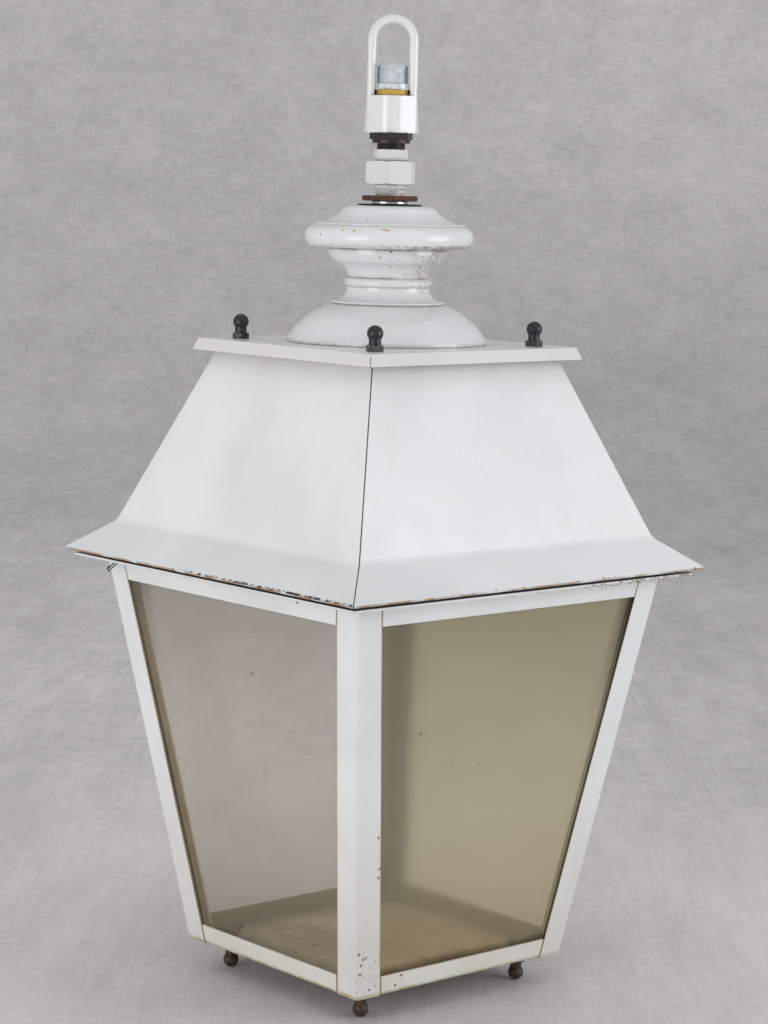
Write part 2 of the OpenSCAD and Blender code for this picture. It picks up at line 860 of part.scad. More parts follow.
module cover_plate() {
    low = cover_edge_w / 2;
    high = cover_top_w / 2;
    flare = (low - high) / cover_h;
    wall = cover_t / cos(atan(flare));
    inner_high = high - wall + cover_t * flare;
    overcut = 1;
    mitre = 0.5;
    color("whitesmoke")
        difference() {
            translate([0, 0, cover_z - cover_h])
                frustum(low, high, cover_h);
            translate([0, 0, cover_z - cover_h - overcut])
                frustum(low - wall + overcut * flare, inner_high,
                    cover_h - cover_t + overcut);
            at_corners(cover_stud_at)
                translate([0, 0, cover_z - cover_t - 1])
                    cylinder(h = cover_t + 2, d = stud_d + 2 * thread_gap);
            translate([0, 0, cover_z - cover_t - 1])
                cylinder(h = cover_t + 2, d = stem_d + 2 * thread_gap);
            // Open mitres of the folded edge
            for (k = [0 : 3])
                rotate([0, 0, 45 + 90 * k])
                    translate([-cover_edge_w, -mitre / 2, cover_z - cover_h - 1])
                        cube([cover_edge_w - cover_top_w / 2 * sqrt(2) + 2, mitre,
                            cover_h - cover_t]);
        }
}

module cover_studs() {
    head_h = 4;
    color("dimgray")
        at_corners(cover_stud_at) {
            translate([0, 0, crown_plate_z - seat / 2 - head_h])
                flat_prism(nut_d, head_h, 6, 0.6, 0);
            translate([0, 0, crown_plate_z - seat / 2 - head_h])
                cylinder(h = cover_z + stud_bite + head_h - crown_plate_z, d = stud_d);
        }
}

module cover_ball_nuts() {
    color("#2a2a2c")
        at_corners(cover_stud_at)
            translate([0, 0, cover_z + seat / 2])
                ball_nut();
}

// Outline of the outside of the cap, from its foot up, above the cover plate
function cap_outline() =
    let (base = cap_base_d / 2, dome = dome_top_d / 2, neck = cap_neck_d / 2)
    let (bead = bead_d / 2, under = roll_under_d / 2, roll = roll_d / 2, top = cap_top_d / 2)
    let (lip = dome_h / 30, edge = roll_h / 3.6, fall = cap_shoulder_h / 15)
    let (step = [under - 0.27 * flare_h, flare_z + 0.52 * flare_h])
    let (shelf = [roll - 0.57 * roll_h, cap_shoulder_z + 1.5 * fall])
    let (turn = [(roll + top) / 2 - 8 * fall, cap_shoulder_z + 10 * fall])
    concat(
        [[base, 0]],
        // Dome, which ends in a small round lip
        arc_points([base, 3 * lip], [dome, dome_h - lip / 3], -dome_h / 8, 12),
        arc_points([dome - lip / 3, dome_h], [dome - lip, dome_h + 2 * lip], -lip, 5),
        // Cove that runs up into the neck, and the bead on it
        arc_points([dome - 1.5 * lip, dome_h + 2 * lip], [neck, bead_z - lip], 3 * lip, 8),
        arc_points([neck, bead_z], [neck - lip, flare_z], neck - bead, 8),
        // Flare, which steps out to the band under the roll
        arc_points([neck - lip, flare_z + lip], step, 0.08 * flare_h, 7),
        arc_points(step + [lip / 2, 0], [under, flare_z + 0.82 * flare_h], -lip / 2, 4),
        [[under, roll_z]],
        // Roll with a flattened face, and the narrow bead along its upper edge
        arc_points([roll - edge, roll_z + lip], [roll - edge, cap_shoulder_z], -edge, 12),
        arc_points([roll - edge - lip / 2, cap_shoulder_z], shelf, -lip / 2, 4),
        // Shoulder: a cove, then a round that ends at the flat top
        arc_points(shelf - [lip / 2, 0], turn, fall, 6),
        arc_points(turn + [-lip / 9, lip / 9], [top, cap_h], -1.4 * fall, 6)
    );

// Outline of the hollow of the cap, from its open foot up
function cap_hollow() =
    let (w = cap_wall, base = cap_base_d / 2, dome = dome_top_d / 2, neck = cap_neck_d / 2)
    let (under = roll_under_d / 2, roll = roll_d / 2, top = cap_top_d / 2)
    [
        [base - w, -1], [base - w, dome_h / 9], [base - w - dome_h / 4, 0.4 * dome_h],
        [dome + 0.25 * dome_h, 0.84 * dome_h - w], [dome - w / 2, dome_h - w],
        [neck - w / 2, bead_z - 0.45 * cap_neck_h - w / 2], [neck - w, bead_z],
        [neck - 1.3 * w, flare_z + w],
        [under - 0.3 * flare_h - w, flare_z + 0.62 * flare_h + w / 2],
        [under - w, roll_z + w], [roll - roll_h / 3 - w, roll_z + 1.3 * w],
        [roll - 0.7 * w - roll_h / 8, roll_z + roll_h / 2],
        [roll - roll_h / 3 - w, cap_shoulder_z - w / 2],
        [(roll + top) / 2 - w, cap_shoulder_z + 0.1 * cap_shoulder_h],
        [top + w, cap_shoulder_z + 0.55 * cap_shoulder_h],
        [top - w, cap_h - w], [stem_d / 2 + thread_gap, cap_h - w]
    ];

module cap() {
    color("whitesmoke")
        translate([0, 0, cover_z])
            rotate_extrude($fn = 96)
                difference() {
                    polygon(concat([[0, 0]], cap_outline(), [[0, cap_h]]));
                    polygon(concat([[-1, -1]], cap_hollow(),
                        [[stem_d / 2 + thread_gap, cap_h + 1], [-1, cap_h + 1]]));
                }
}

// Round ring with its lower face on z = 0
module ring(d, bore, h) {
    rotate_extrude()
        translate([bore / 2, 0])
            square([(d - bore) / 2, h]);
}

module cap_washer() {
    color("#1c1c1c")
        translate([0, 0, washer_z])
            ring(cap_washer_d, stem_d + 2 * thread_gap, cap_washer_t);
}

module cap_ring() {
    edge = cap_ring_t / 5;
    bore = stem_d + 2 * thread_gap;
    color("silver")
        translate([0, 0, ring_z])
            rotate_extrude()
                polygon([[bore / 2, 0], [cap_ring_d / 2 - edge, 0], [cap_ring_d / 2, edge],
                    [cap_ring_d / 2, cap_ring_t - edge], [cap_ring_d / 2 - edge, cap_ring_t],
                    [bore / 2, cap_ring_t]]);
}

module lock_nut() {
    color("#5a2c14")
        translate([0, 0, lock_z])
            difference() {
                flat_prism(lock_nut_d, lock_nut_t, 6, 1.6, front_turn + 30);
                translate([0, 0, -1])
                    cylinder(h = lock_nut_t + 2, d = stem_d + 2 * thread_gap);
            }
}

module stem_pipe() {
    color("whitesmoke")
        translate([0, 0, stem_z])
            ring(stem_d, stem_bore, stem_l);
}

module stem_washer() {
    color("gray")
        translate([0, 0, crown_plate_z - seat / 2 - stem_washer_t])
            ring(stem_washer_d, stem_d + 2 * thread_gap, stem_washer_t);
}

module stem_nut() {
    color("gray")
        translate([0, 0, crown_plate_z - seat - stem_washer_t - stem_nut_h])
            difference() {
                flat_prism(stem_nut_d, stem_nut_h, 6, 1, 0);
                translate([0, 0, -1])
                    cylinder(h = stem_nut_h + 2, d = stem_d + 2 * thread_gap);
            }
}

module union_tail() {
    collar_d = union_lip_d - 4 * thread_gap;
    shoulder_d = union_inner_d - 2 * thread_gap;
    z1 = tail_collar_h;
    z2 = tail_shoulder_z - tail_z;
    z3 = z2 + tail_shoulder_h;
    color("whitesmoke")
        translate([0, 0, tail_z])
            rotate_extrude()
                polygon([[stem_bore / 2, 0], [stem_d / 2, 0], [collar_d / 2, 2], [collar_d / 2, z1],
                    [stem_d / 2, z1], [stem_d / 2, z2], [shoulder_d / 2, z2],
                    [shoulder_d / 2, z3], [stem_bore / 2, z3]]);
}

module union_nut() {
    lip_h = tail_shoulder_z - seat / 2 - union_z;
    color("whitesmoke")
        translate([0, 0, union_z])
            difference() {
                flat_prism(union_nut_d, union_nut_h, 6, 2.6, front_turn - 6.6);
                translate([0, 0, -1])
                    cylinder(h = union_nut_h + 2, d = union_lip_d);
                translate([0, 0, lip_h])
                    cylinder(h = union_nut_h, d = union_inner_d);
            }
}

module union_body() {
    thread_z = tail_shoulder_z + tail_shoulder_h + seat / 2;
    socket_z = oct_z + union_socket_z;
    color("whitesmoke")
        difference() {
            union() {
                translate([0, 0, thread_z])
                    cylinder(h = oct_z - thread_z, d = union_inner_d - 2 * thread_gap);
                translate([0, 0, oct_z])
                    flat_prism(union_oct_d, union_oct_h, 8, 1, front_turn - 8);
            }
            translate([0, 0, thread_z - 1])
                cylinder(h = socket_z - thread_z + 1, d = bush_bore);
            translate([0, 0, socket_z])
                cylinder(h = union_oct_h, d = thread_d + 2 * thread_gap);
        }
}

module bush() {
    foot = oct_z + union_socket_z + seat / 2;
    head = socket_top_z - socket_h / 2;
    color("#33231f")
        difference() {
            union() {
                translate([0, 0, foot])
                    cylinder(h = head - foot, d = thread_d);
                translate([0, 0, neck_z + seat / 2])
                    cylinder(h = bush_neck_h, d = bush_neck_d);
                translate([0, 0, bush_z])
                    cylinder(h = bush_step_h, d = bush_step_d);
                translate([0, 0, bush_z + bush_step_h])
                    flat_prism(bush_hex_d, bush_hex_h, 6, 1, front_turn - 11.7);
            }
            translate([0, 0, foot - 1])
                cylinder(h = head - foot + 2, d = bush_bore);
        }
}

// Flat bar section of an arm, rounded on its inner and outer faces
module arm_section() {
    straight = arm_depth - arm_w;
    square([arm_w, straight], center = true);
    for (s = [-1, 1])
        translate([0, s * straight / 2])
            circle(d = arm_w, $fn = 32);
}

module stirrup() {
    arm_at = (stirrup_w - arm_w) / 2;
    arch_z = stirrup_h - stirrup_w / 2;
    web = arm_at - arm_w / 2;
    color("white")
        translate([0, 0, stirrup_z])
            rotate([0, 0, stirrup_turn])
                difference() {
                    union() {
                        // Socket, drawn out flush to the arms on both sides
                        linear_extrude(socket_h)
                            hull() {
                                circle(d = socket_d, $fn = 96);
                                for (s = [-1, 1])
                                    translate([s * arm_at, 0])
                                        arm_section();
                            }
                        for (s = [-1, 1])
                            translate([s * arm_at, 0, 0])
                                linear_extrude(arch_z)
                                    arm_section();
                        // Feet of the arms, which widen beside the socket
                        rotate([90, 0, 0])
                            linear_extrude(arm_depth - arm_w + 3, center = true)
                                polygon([[-web, 0], [-socket_foot_w / 2, 0],
                                    [-stirrup_w / 2, socket_h + 6], [-web, socket_h],
                                    [web, socket_h], [stirrup_w / 2, socket_h + 6],
                                    [socket_foot_w / 2, 0], [web, 0]]);
                        translate([0, 0, arch_z])
                            rotate([90, 0, 0])
                                rotate_extrude(angle = 180, $fn = 72)
                                    translate([arm_at, 0])
                                        arm_section();
                    }
                    translate([0, 0, -1])
                        cylinder(h = socket_h + 2, d = thread_d + 2 * thread_gap);
                    // Seat for the brass nut between the arms
                    translate([0, 0, socket_h])
                        cylinder(h = brass_nut_t + seat, d = brass_nut_d + 2 * seat);
                }
}

module brass_nut() {
    color("goldenrod")
        translate([0, 0, brass_z])
            difference() {
                flat_prism(brass_nut_d, brass_nut_t, 6, 1.4, front_turn + 30);
                translate([0, 0, -1])
                    cylinder(h = brass_nut_t + 2, d = thread_d + 2 * thread_gap);
            }
}

gland_thread_d = 17;
module gland_body() {
    low = socket_top_z - 0.45 * socket_h;
    high = gland_nut_z + 0.55 * gland_nut_h;
    color("#9aa2a8")
        difference() {
            union() {
                translate([0, 0, low])
                    cylinder(h = gland_z - low, d = thread_d);
                translate([0, 0, gland_z])
                    flat_prism(gland_flange_d, gland_flange_h, 6, 0.6, front_turn + 1.5);
                translate([0, 0, gland_z + gland_flange_h])
                    cylinder(h = high - gland_z - gland_flange_h, d = gland_thread_d);
            }
            translate([0, 0, low - 1])
                cylinder(h = high - low + 2, d = bush_bore);
        }
}

module gland_seal() {
    color("#222222")
        translate([0, 0, gland_nut_z + 0.16 * gland_nut_h])
            ring(bush_bore - 2 * thread_gap, cable_d, 0.48 * gland_nut_h);
}

module gland_nut() {
    roof = 0.32 * gland_nut_h;
    color("#9aa2a8")
        translate([0, 0, gland_nut_z])
            difference() {
                // The top of the nut is turned to a long cone
                flat_prism(gland_nut_d, gland_nut_h, 6, 0.6, front_turn + 28.5, [4.6, 4]);
                translate([0, 0, -1])
                    cylinder(h = gland_nut_h - roof + 1, d = gland_thread_d + 2 * thread_gap);
                translate([0, 0, -1])
                    cylinder(h = gland_nut_h + 2, d = cable_d);
            }
}

// Top of the lampholder, a short way under the reducer
holder_gap = 4;
holder_top_z = stem_z - reducer_hex_h - holder_gap;
module holder_reducer() {
    low = holder_top_z - nipple_bite;
    color("gray")
        difference() {
            union() {
                translate([0, 0, stem_z - seat / 2 - reducer_hex_h])
                    flat_prism(reducer_hex_d, reducer_hex_h, 6, 1, 0);
                translate([0, 0, stem_z - seat / 2])
                    cylinder(h = reducer_plug_l, d = stem_bore - 2 * thread_gap);
                translate([0, 0, low])
                    cylinder(h = nipple_bite + holder_gap, d = nipple_d);
            }
            translate([0, 0, low - 1])
                cylinder(h = stem_z + reducer_plug_l - low + 2, d = nipple_d - 3);
        }
}

// Wall of the thread sleeve and of the roof of the lampholder above it
sleeve_t = 0.8;
holder_roof = 12;
sleeve_z = holder_top_z - seat / 2 - holder_roof - seat - sleeve_l - sleeve_t;
module lampholder() {
    r = holder_d / 2;
    neck = 0.65 * r;
    shoulder = 0.71 * holder_l;
    mouth = sleeve_d / 2 + sleeve_t + thread_gap;
    color("ivory")
        translate([0, 0, holder_top_z - seat / 2 - holder_l])
            rotate_extrude()
                polygon(concat(
                    [[mouth, 0], [r - 1.5, 0]],
                    arc_points([r - 1.5, 0], [r, 1.5], -0.4, 2),
                    [[r, shoulder - 3]],
                    arc_points([r, shoulder], [neck + 1, holder_l - 4], -2.4, 5),
                    [[neck, holder_l], [nipple_d / 2 + thread_gap, holder_l],
                        [nipple_d / 2 + thread_gap, holder_l - holder_roof],
                        [mouth, holder_l - holder_roof]]));
}

module lampholder_sleeve() {
    color("goldenrod")
        translate([0, 0, sleeve_z])
            difference() {
                cylinder(h = sleeve_l + sleeve_t, d = sleeve_d + 2 * sleeve_t);
                translate([0, 0, -1])
                    cylinder(h = sleeve_l + 1, d = sleeve_d);
            }
}

corner_post(0);  // corner_post_front_left
corner_post(1);  // corner_post_front_right
corner_post(2);  // corner_post_back_right
corner_post(3);  // corner_post_back_left
top_rail(0);  // top_rail_front
top_rail(1);  // top_rail_right
top_rail(2);  // top_rail_back
top_rail(3);  // top_rail_left
bottom_rail(0);  // bottom_rail_front
bottom_rail(1);  // bottom_rail_right
bottom_rail(2);  // bottom_rail_back
bottom_rail(3);  // bottom_rail_left
side_pane(0);  // side_pane_front
side_pane(1);  // side_pane_right
side_pane(2);  // side_pane_back
side_pane(3);  // side_pane_left
bottom_pane();
glazing_strips();
corner_plates();
top_flange();
ball_feet();
foot_studs();
foot_nuts();
hinge_lower_leaves();
hinge_pins();
tie_wire();
roof_panel(0);  // roof_panel_front
roof_panel(1);  // roof_panel_right
roof_panel(2);  // roof_panel_back
roof_panel(3);  // roof_panel_left
hip_strip(0);  // hip_strip_front_left
hip_strip(1);  // hip_strip_front_right
hip_strip(2);  // hip_strip_back_right
hip_strip(3);  // hip_strip_back_left
roof_frame();
hinge_upper_leaves();
crown_plate();
cover_plate();
cover_studs();
cover_ball_nuts();
cap();
cap_washer();
cap_ring();
lock_nut();
stem_pipe();
stem_washer();
stem_nut();
union_tail();
union_nut();
union_body();
bush();
stirrup();
brass_nut();
gland_body();
gland_seal();
gland_nut();
holder_reducer();
lampholder();
lampholder_sleeve();
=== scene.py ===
"""Looks of a white-painted, four-sided street lantern: finishes, small raised details, light and camera."""
import json
import math

import bmesh
import bpy
from mathutils import Matrix, Vector, noise


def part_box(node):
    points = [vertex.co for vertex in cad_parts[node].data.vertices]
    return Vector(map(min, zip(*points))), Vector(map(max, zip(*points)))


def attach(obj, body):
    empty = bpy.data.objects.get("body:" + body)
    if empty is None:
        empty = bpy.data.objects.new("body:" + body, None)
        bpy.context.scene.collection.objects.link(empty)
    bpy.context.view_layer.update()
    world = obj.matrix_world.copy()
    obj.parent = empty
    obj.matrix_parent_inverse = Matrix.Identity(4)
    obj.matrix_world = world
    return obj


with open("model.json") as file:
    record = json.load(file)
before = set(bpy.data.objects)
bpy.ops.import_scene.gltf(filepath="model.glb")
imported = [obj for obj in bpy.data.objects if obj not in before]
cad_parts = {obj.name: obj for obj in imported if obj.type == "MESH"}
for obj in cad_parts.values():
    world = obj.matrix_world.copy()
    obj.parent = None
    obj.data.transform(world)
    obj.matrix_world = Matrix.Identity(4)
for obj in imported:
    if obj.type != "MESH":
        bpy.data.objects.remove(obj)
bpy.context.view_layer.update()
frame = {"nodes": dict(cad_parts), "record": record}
NODES = frame["nodes"]
SIDES = ("front", "right", "back", "left")
UP = Vector((0.0, 0.0, 1.0))

# Camera, in the lantern's own frame and in metres
CAMERA_AT = Vector((-1.5878, -1.8462, 0.7396))
CAMERA_HEADING = Vector((0.6524, 0.7579, 0.0)).normalized()
CAMERA_DIP = math.radians(7.084)
CAMERA_ROLL = math.radians(1.287)
CAMERA_LENS = 93.65
ACROSS_VIEW = Vector((CAMERA_HEADING.y, -CAMERA_HEADING.x, 0.0))

# Light: the point that both lamps aim at, in metres, and the grey level of the sky
LAMP_TARGET = Vector((0.0, 0.0, 0.45))
SKY_LEVEL = 0.76

# Heights of the lantern's main levels and half its width, from its solids
EAVE_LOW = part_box("roof_panel_front")[0].z
EAVE_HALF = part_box("roof_panel_front")[1].x
ROOF_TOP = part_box("roof_panel_front")[1].z
CAP_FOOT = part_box("cap")[0].z
PANE_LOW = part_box("side_pane_left")[0].z
PANE_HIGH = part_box("side_pane_left")[1].z
FLOOR_PANE_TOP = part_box("bottom_pane")[1].z
CAGE_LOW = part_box("bottom_rail_front")[0].z
CAGE_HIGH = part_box("top_rail_front")[1].z

# Threads, in metres; root and flank are shares of a thread's depth and pitch
THREAD_STEPS = 40
THREAD_ROOT = 0.3
THREAD_FLANK = 0.48
STEM_PITCH = 0.0018
STEM_DEPTH = 0.0005
BUSH_PITCH = 0.0014
BUSH_DEPTH = 0.0006
BUSH_NECK_RADIUS = 0.0125
BUSH_NECK_HEIGHT = 0.0057

# Raised line round the cap, in metres, its height above the cap's foot
LEDGE_RADIUS = 0.0675
LEDGE_HEIGHT = 0.1072
LEDGE_THICKNESS = 0.0012
LEDGE_TURNS = 128
LEDGE_SIDES = 8

# Loose flakes on the floor pane, in metres; the last four are shares of a flake's size or step
FLAKES = 26
FLAKE_SEED = 7
FLAKE_MARGIN = 0.022
FLAKE_LEAST = 0.0008
FLAKE_SPREAD = 0.0013
FLAKE_THICKNESS = 0.0003
FLAKE_PEAK = 0.25
FLAKE_CORE = 0.7
FLAKE_RAGGED = 0.5
FLAKE_TURN = 0.3

# Floor and wall, in metres
WALL_AT = 7.0
WALL_HEIGHT = 9.0
WALL_CURVE = 2.0
CURVE_STEPS = 12
STAGE_TURNS = 96
FLOOR_RINGS = (0.0, 0.3, 0.7, 1.5, WALL_AT - WALL_CURVE)

# Samples of the nodes that find edges and crevices
BEVEL_SAMPLES = 3
OCCLUSION_SAMPLES = 6

# Places of single rust spots, chips and scratches, and their radii, in metres
CAGE_RUST = ((-0.1285, -0.1309, 0.0710), (-0.1200, -0.1303, 0.0667), (-0.1232, -0.1301, 0.0654),
             (-0.1246, -0.1293, 0.0601), (-0.1244, -0.1279, 0.0516), (-0.1114, -0.1253, 0.0350),
             (-0.1240, -0.1481, 0.1780), (-0.1186, -0.1434, 0.1488), (-0.1178, -0.1421, 0.1404),
             (-0.0754, -0.1264, 0.0424), (-0.0810, -0.1251, 0.0339), (-0.1804, -0.1010, 0.3816))
CAP_RUST = ((-0.0714, -0.0203, 0.6960), (-0.0680, -0.0314, 0.6951), (-0.0516, -0.0522, 0.6973),
            (-0.0505, -0.0535, 0.6967), (-0.0495, -0.0545, 0.6963), (-0.0484, -0.0556, 0.6958))
CAP_CHIPS = ((-0.0618, 0.0027, 0.7012), (-0.0468, -0.0239, 0.7056), (-0.0765, 0.0047, 0.6910),
             (-0.0343, -0.0430, 0.6770), (-0.0402, -0.0355, 0.6717), (-0.0265, -0.0340, 0.6635))
PANE_MARKS = ((-0.1668, -0.0208, 0.3061), (-0.1672, -0.0226, 0.3075), (-0.1731, -0.0322, 0.3458))
RUST_RADIUS = 0.0019
CHIP_RADIUS = 0.0012
MARK_RADIUS = 0.0016

# Zones of dirt on the cap, above its foot: lowest, highest and soft distance, in metres
CAP_UNDER_ROLL = (0.063, 0.087, 0.012)
CAP_WAIST = (0.046, 0.058, 0.004)
CAP_RIM = (0.0860, 0.0888, 0.0014)
# Heights of the cap's grooves above its foot, each with the strength of the dirt that it holds
CAP_GROOVES = {0.0006: 0.95, 0.0350: 0.6, 0.0508: 0.6, 0.0594: 0.95, 0.0850: 0.95}
# The side of the cap that holds most of the dirt
CAP_DIRTY_SIDE = ACROSS_VIEW

# Depth of the smoke and painted shade under the head of the panes, in metres, and the lean of their upright
# edges
SMOKE_AND_SHADE_DEPTH = 0.20
PANE_LEAN = 0.184

# Paints, linear
WHITE_PAINT = (0.705, 0.71, 0.715)
CAST_PAINT = (0.71, 0.72, 0.728)
CREAM_PAINT = (0.72, 0.715, 0.69)
GLOSS_PAINT = (0.71, 0.71, 0.715)
PIPE_PAINT = (0.64, 0.65, 0.645)
STRIP_PAINT_DARK = (0.17, 0.14, 0.08)
STRIP_PAINT_LIGHT = (0.26, 0.215, 0.135)
STRIP_PAINT_FAR_SHADE = (0.085, 0.065, 0.045)
STRIP_WORN_AND_LIT_EDGE = (0.66, 0.60, 0.45)
# How much darker an old coat gets in places, and how much warmer where it is smeared
COAT_SHADE = 0.90
COAT_WARMTH = (0.86, 0.83, 0.76)

# Dirt and rust, some of it with painted shade, linear
GREY_DIRT = (0.34, 0.32, 0.28)
BROWN_DIRT = (0.17, 0.125, 0.08)
SEAM_DIRT = (0.22, 0.145, 0.055)
JOINT_DIRT = (0.27, 0.18, 0.06)
FOLD_RUST = (0.31, 0.21, 0.065)
SPOT_RUST = (0.17, 0.07, 0.035)
OCHRE_RUST = (0.50, 0.30, 0.07)
EAVE_RUST = (0.33, 0.185, 0.065)
RUST = (0.24, 0.085, 0.022)
RUST_DARK = (0.045, 0.022, 0.014)
DARK_CHIP = (0.030, 0.024, 0.020)
RIM_DIRT = (0.12, 0.085, 0.05)
LOW_FILM = (0.55, 0.515, 0.42)
RIM_DUST = (0.52, 0.50, 0.46)
ROOF_DUST_AND_SHADE = (0.42, 0.39, 0.33)
INSIDE_LOW_DIRT_AND_SHADE = (0.14, 0.11, 0.07)
INSIDE_HIGH_DIRT_AND_SHADE = (0.38, 0.31, 0.20)
INSIDE_FAR_SHADE = (0.075, 0.055, 0.035)
COVERED_DIRT_AND_SHADE_DARK = (0.045, 0.022, 0.012)
COVERED_DIRT_AND_SHADE_LIGHT = (0.13, 0.085, 0.05)
ROOF_STAIN_AND_SHADE_DARK = (0.13, 0.10, 0.065)
ROOF_STAIN_AND_SHADE_LIGHT = (0.30, 0.26, 0.20)

# Metals, rubber and porcelain, linear
IRON_BLACK = (0.022, 0.023, 0.026)
ZINC = (0.40, 0.41, 0.42)
ZINC_DARK = (0.30, 0.30, 0.30)
ALLOY = (0.64, 0.69, 0.73)
BRASS = (0.74, 0.50, 0.12)
BRASS_TARNISH = (0.30, 0.19, 0.05)
STEEL_BRIGHT = (0.78, 0.78, 0.77)
STEEL_STAINED = (0.42, 0.36, 0.28)
RUBBER = (0.016, 0.016, 0.017)
RUBBER_DUST = (0.06, 0.055, 0.05)
PORCELAIN = (0.74, 0.72, 0.66)
PORCELAIN_SHADE = (0.66, 0.63, 0.56)

# Panes, linear
CLEAR_FILM_DARK = (0.48, 0.39, 0.28)
CLEAR_FILM_LIGHT = (0.54, 0.45, 0.34)
CLEAR_SMOKE_AND_SHADE = (0.26, 0.22, 0.16)
CLEAR_LOW = (0.27, 0.22, 0.16)
CLEAR_MARK_AND_SHADE = (0.09, 0.075, 0.05)
YELLOW_DARK = (0.86, 0.79, 0.58)
YELLOW_LIGHT = (0.89, 0.83, 0.66)
YELLOW_SMOKE_AND_SHADE = (0.52, 0.46, 0.32)
YELLOW_AMBER = (0.93, 0.78, 0.51)
YELLOW_FRAMED = (0.45, 0.38, 0.26)
YELLOW_SILL = (0.20, 0.14, 0.08)
YELLOW_CORNER = (0.14, 0.10, 0.07)
YELLOW_SPECK = (0.05, 0.04, 0.03)
FLOOR_DUST_AND_SHADE_DARK = (0.35, 0.275, 0.185)
FLOOR_DUST_AND_SHADE_LIGHT = (0.56, 0.465, 0.325)
FLOOR_STAIN = (0.11, 0.08, 0.05)
FLOOR_EDGE_SHADE = (0.085, 0.065, 0.045)
FLOOR_SPECK = (0.06, 0.045, 0.03)

# Cloth of the stage, linear: the floor by the lantern lies flat to the lamps, so it is the lighter one
CANVAS = (0.412, 0.402, 0.404)
FLOOR_CANVAS = (0.595, 0.575, 0.575)


def scaled(colour, level):
    """A colour made darker or lighter as a whole."""
    return tuple(level * part for part in colour)


def inner_edge(name, end=0.002):
    """Upright edge nearest the middle of each side: its distance out at height zero, and its lean."""
    node = NODES[name]
    corners = [node.matrix_world @ vertex.co for vertex in node.data.vertices]
    low = min(corner.z for corner in corners)
    high = max(corner.z for corner in corners)
    foot = min(min(abs(c.x), abs(c.y)) for c in corners if c.z < low + end)
    head = min(min(abs(c.x), abs(c.y)) for c in corners if c.z > high - end)
    lean = (head - foot) / (high - low)
    return foot - lean * low, lean


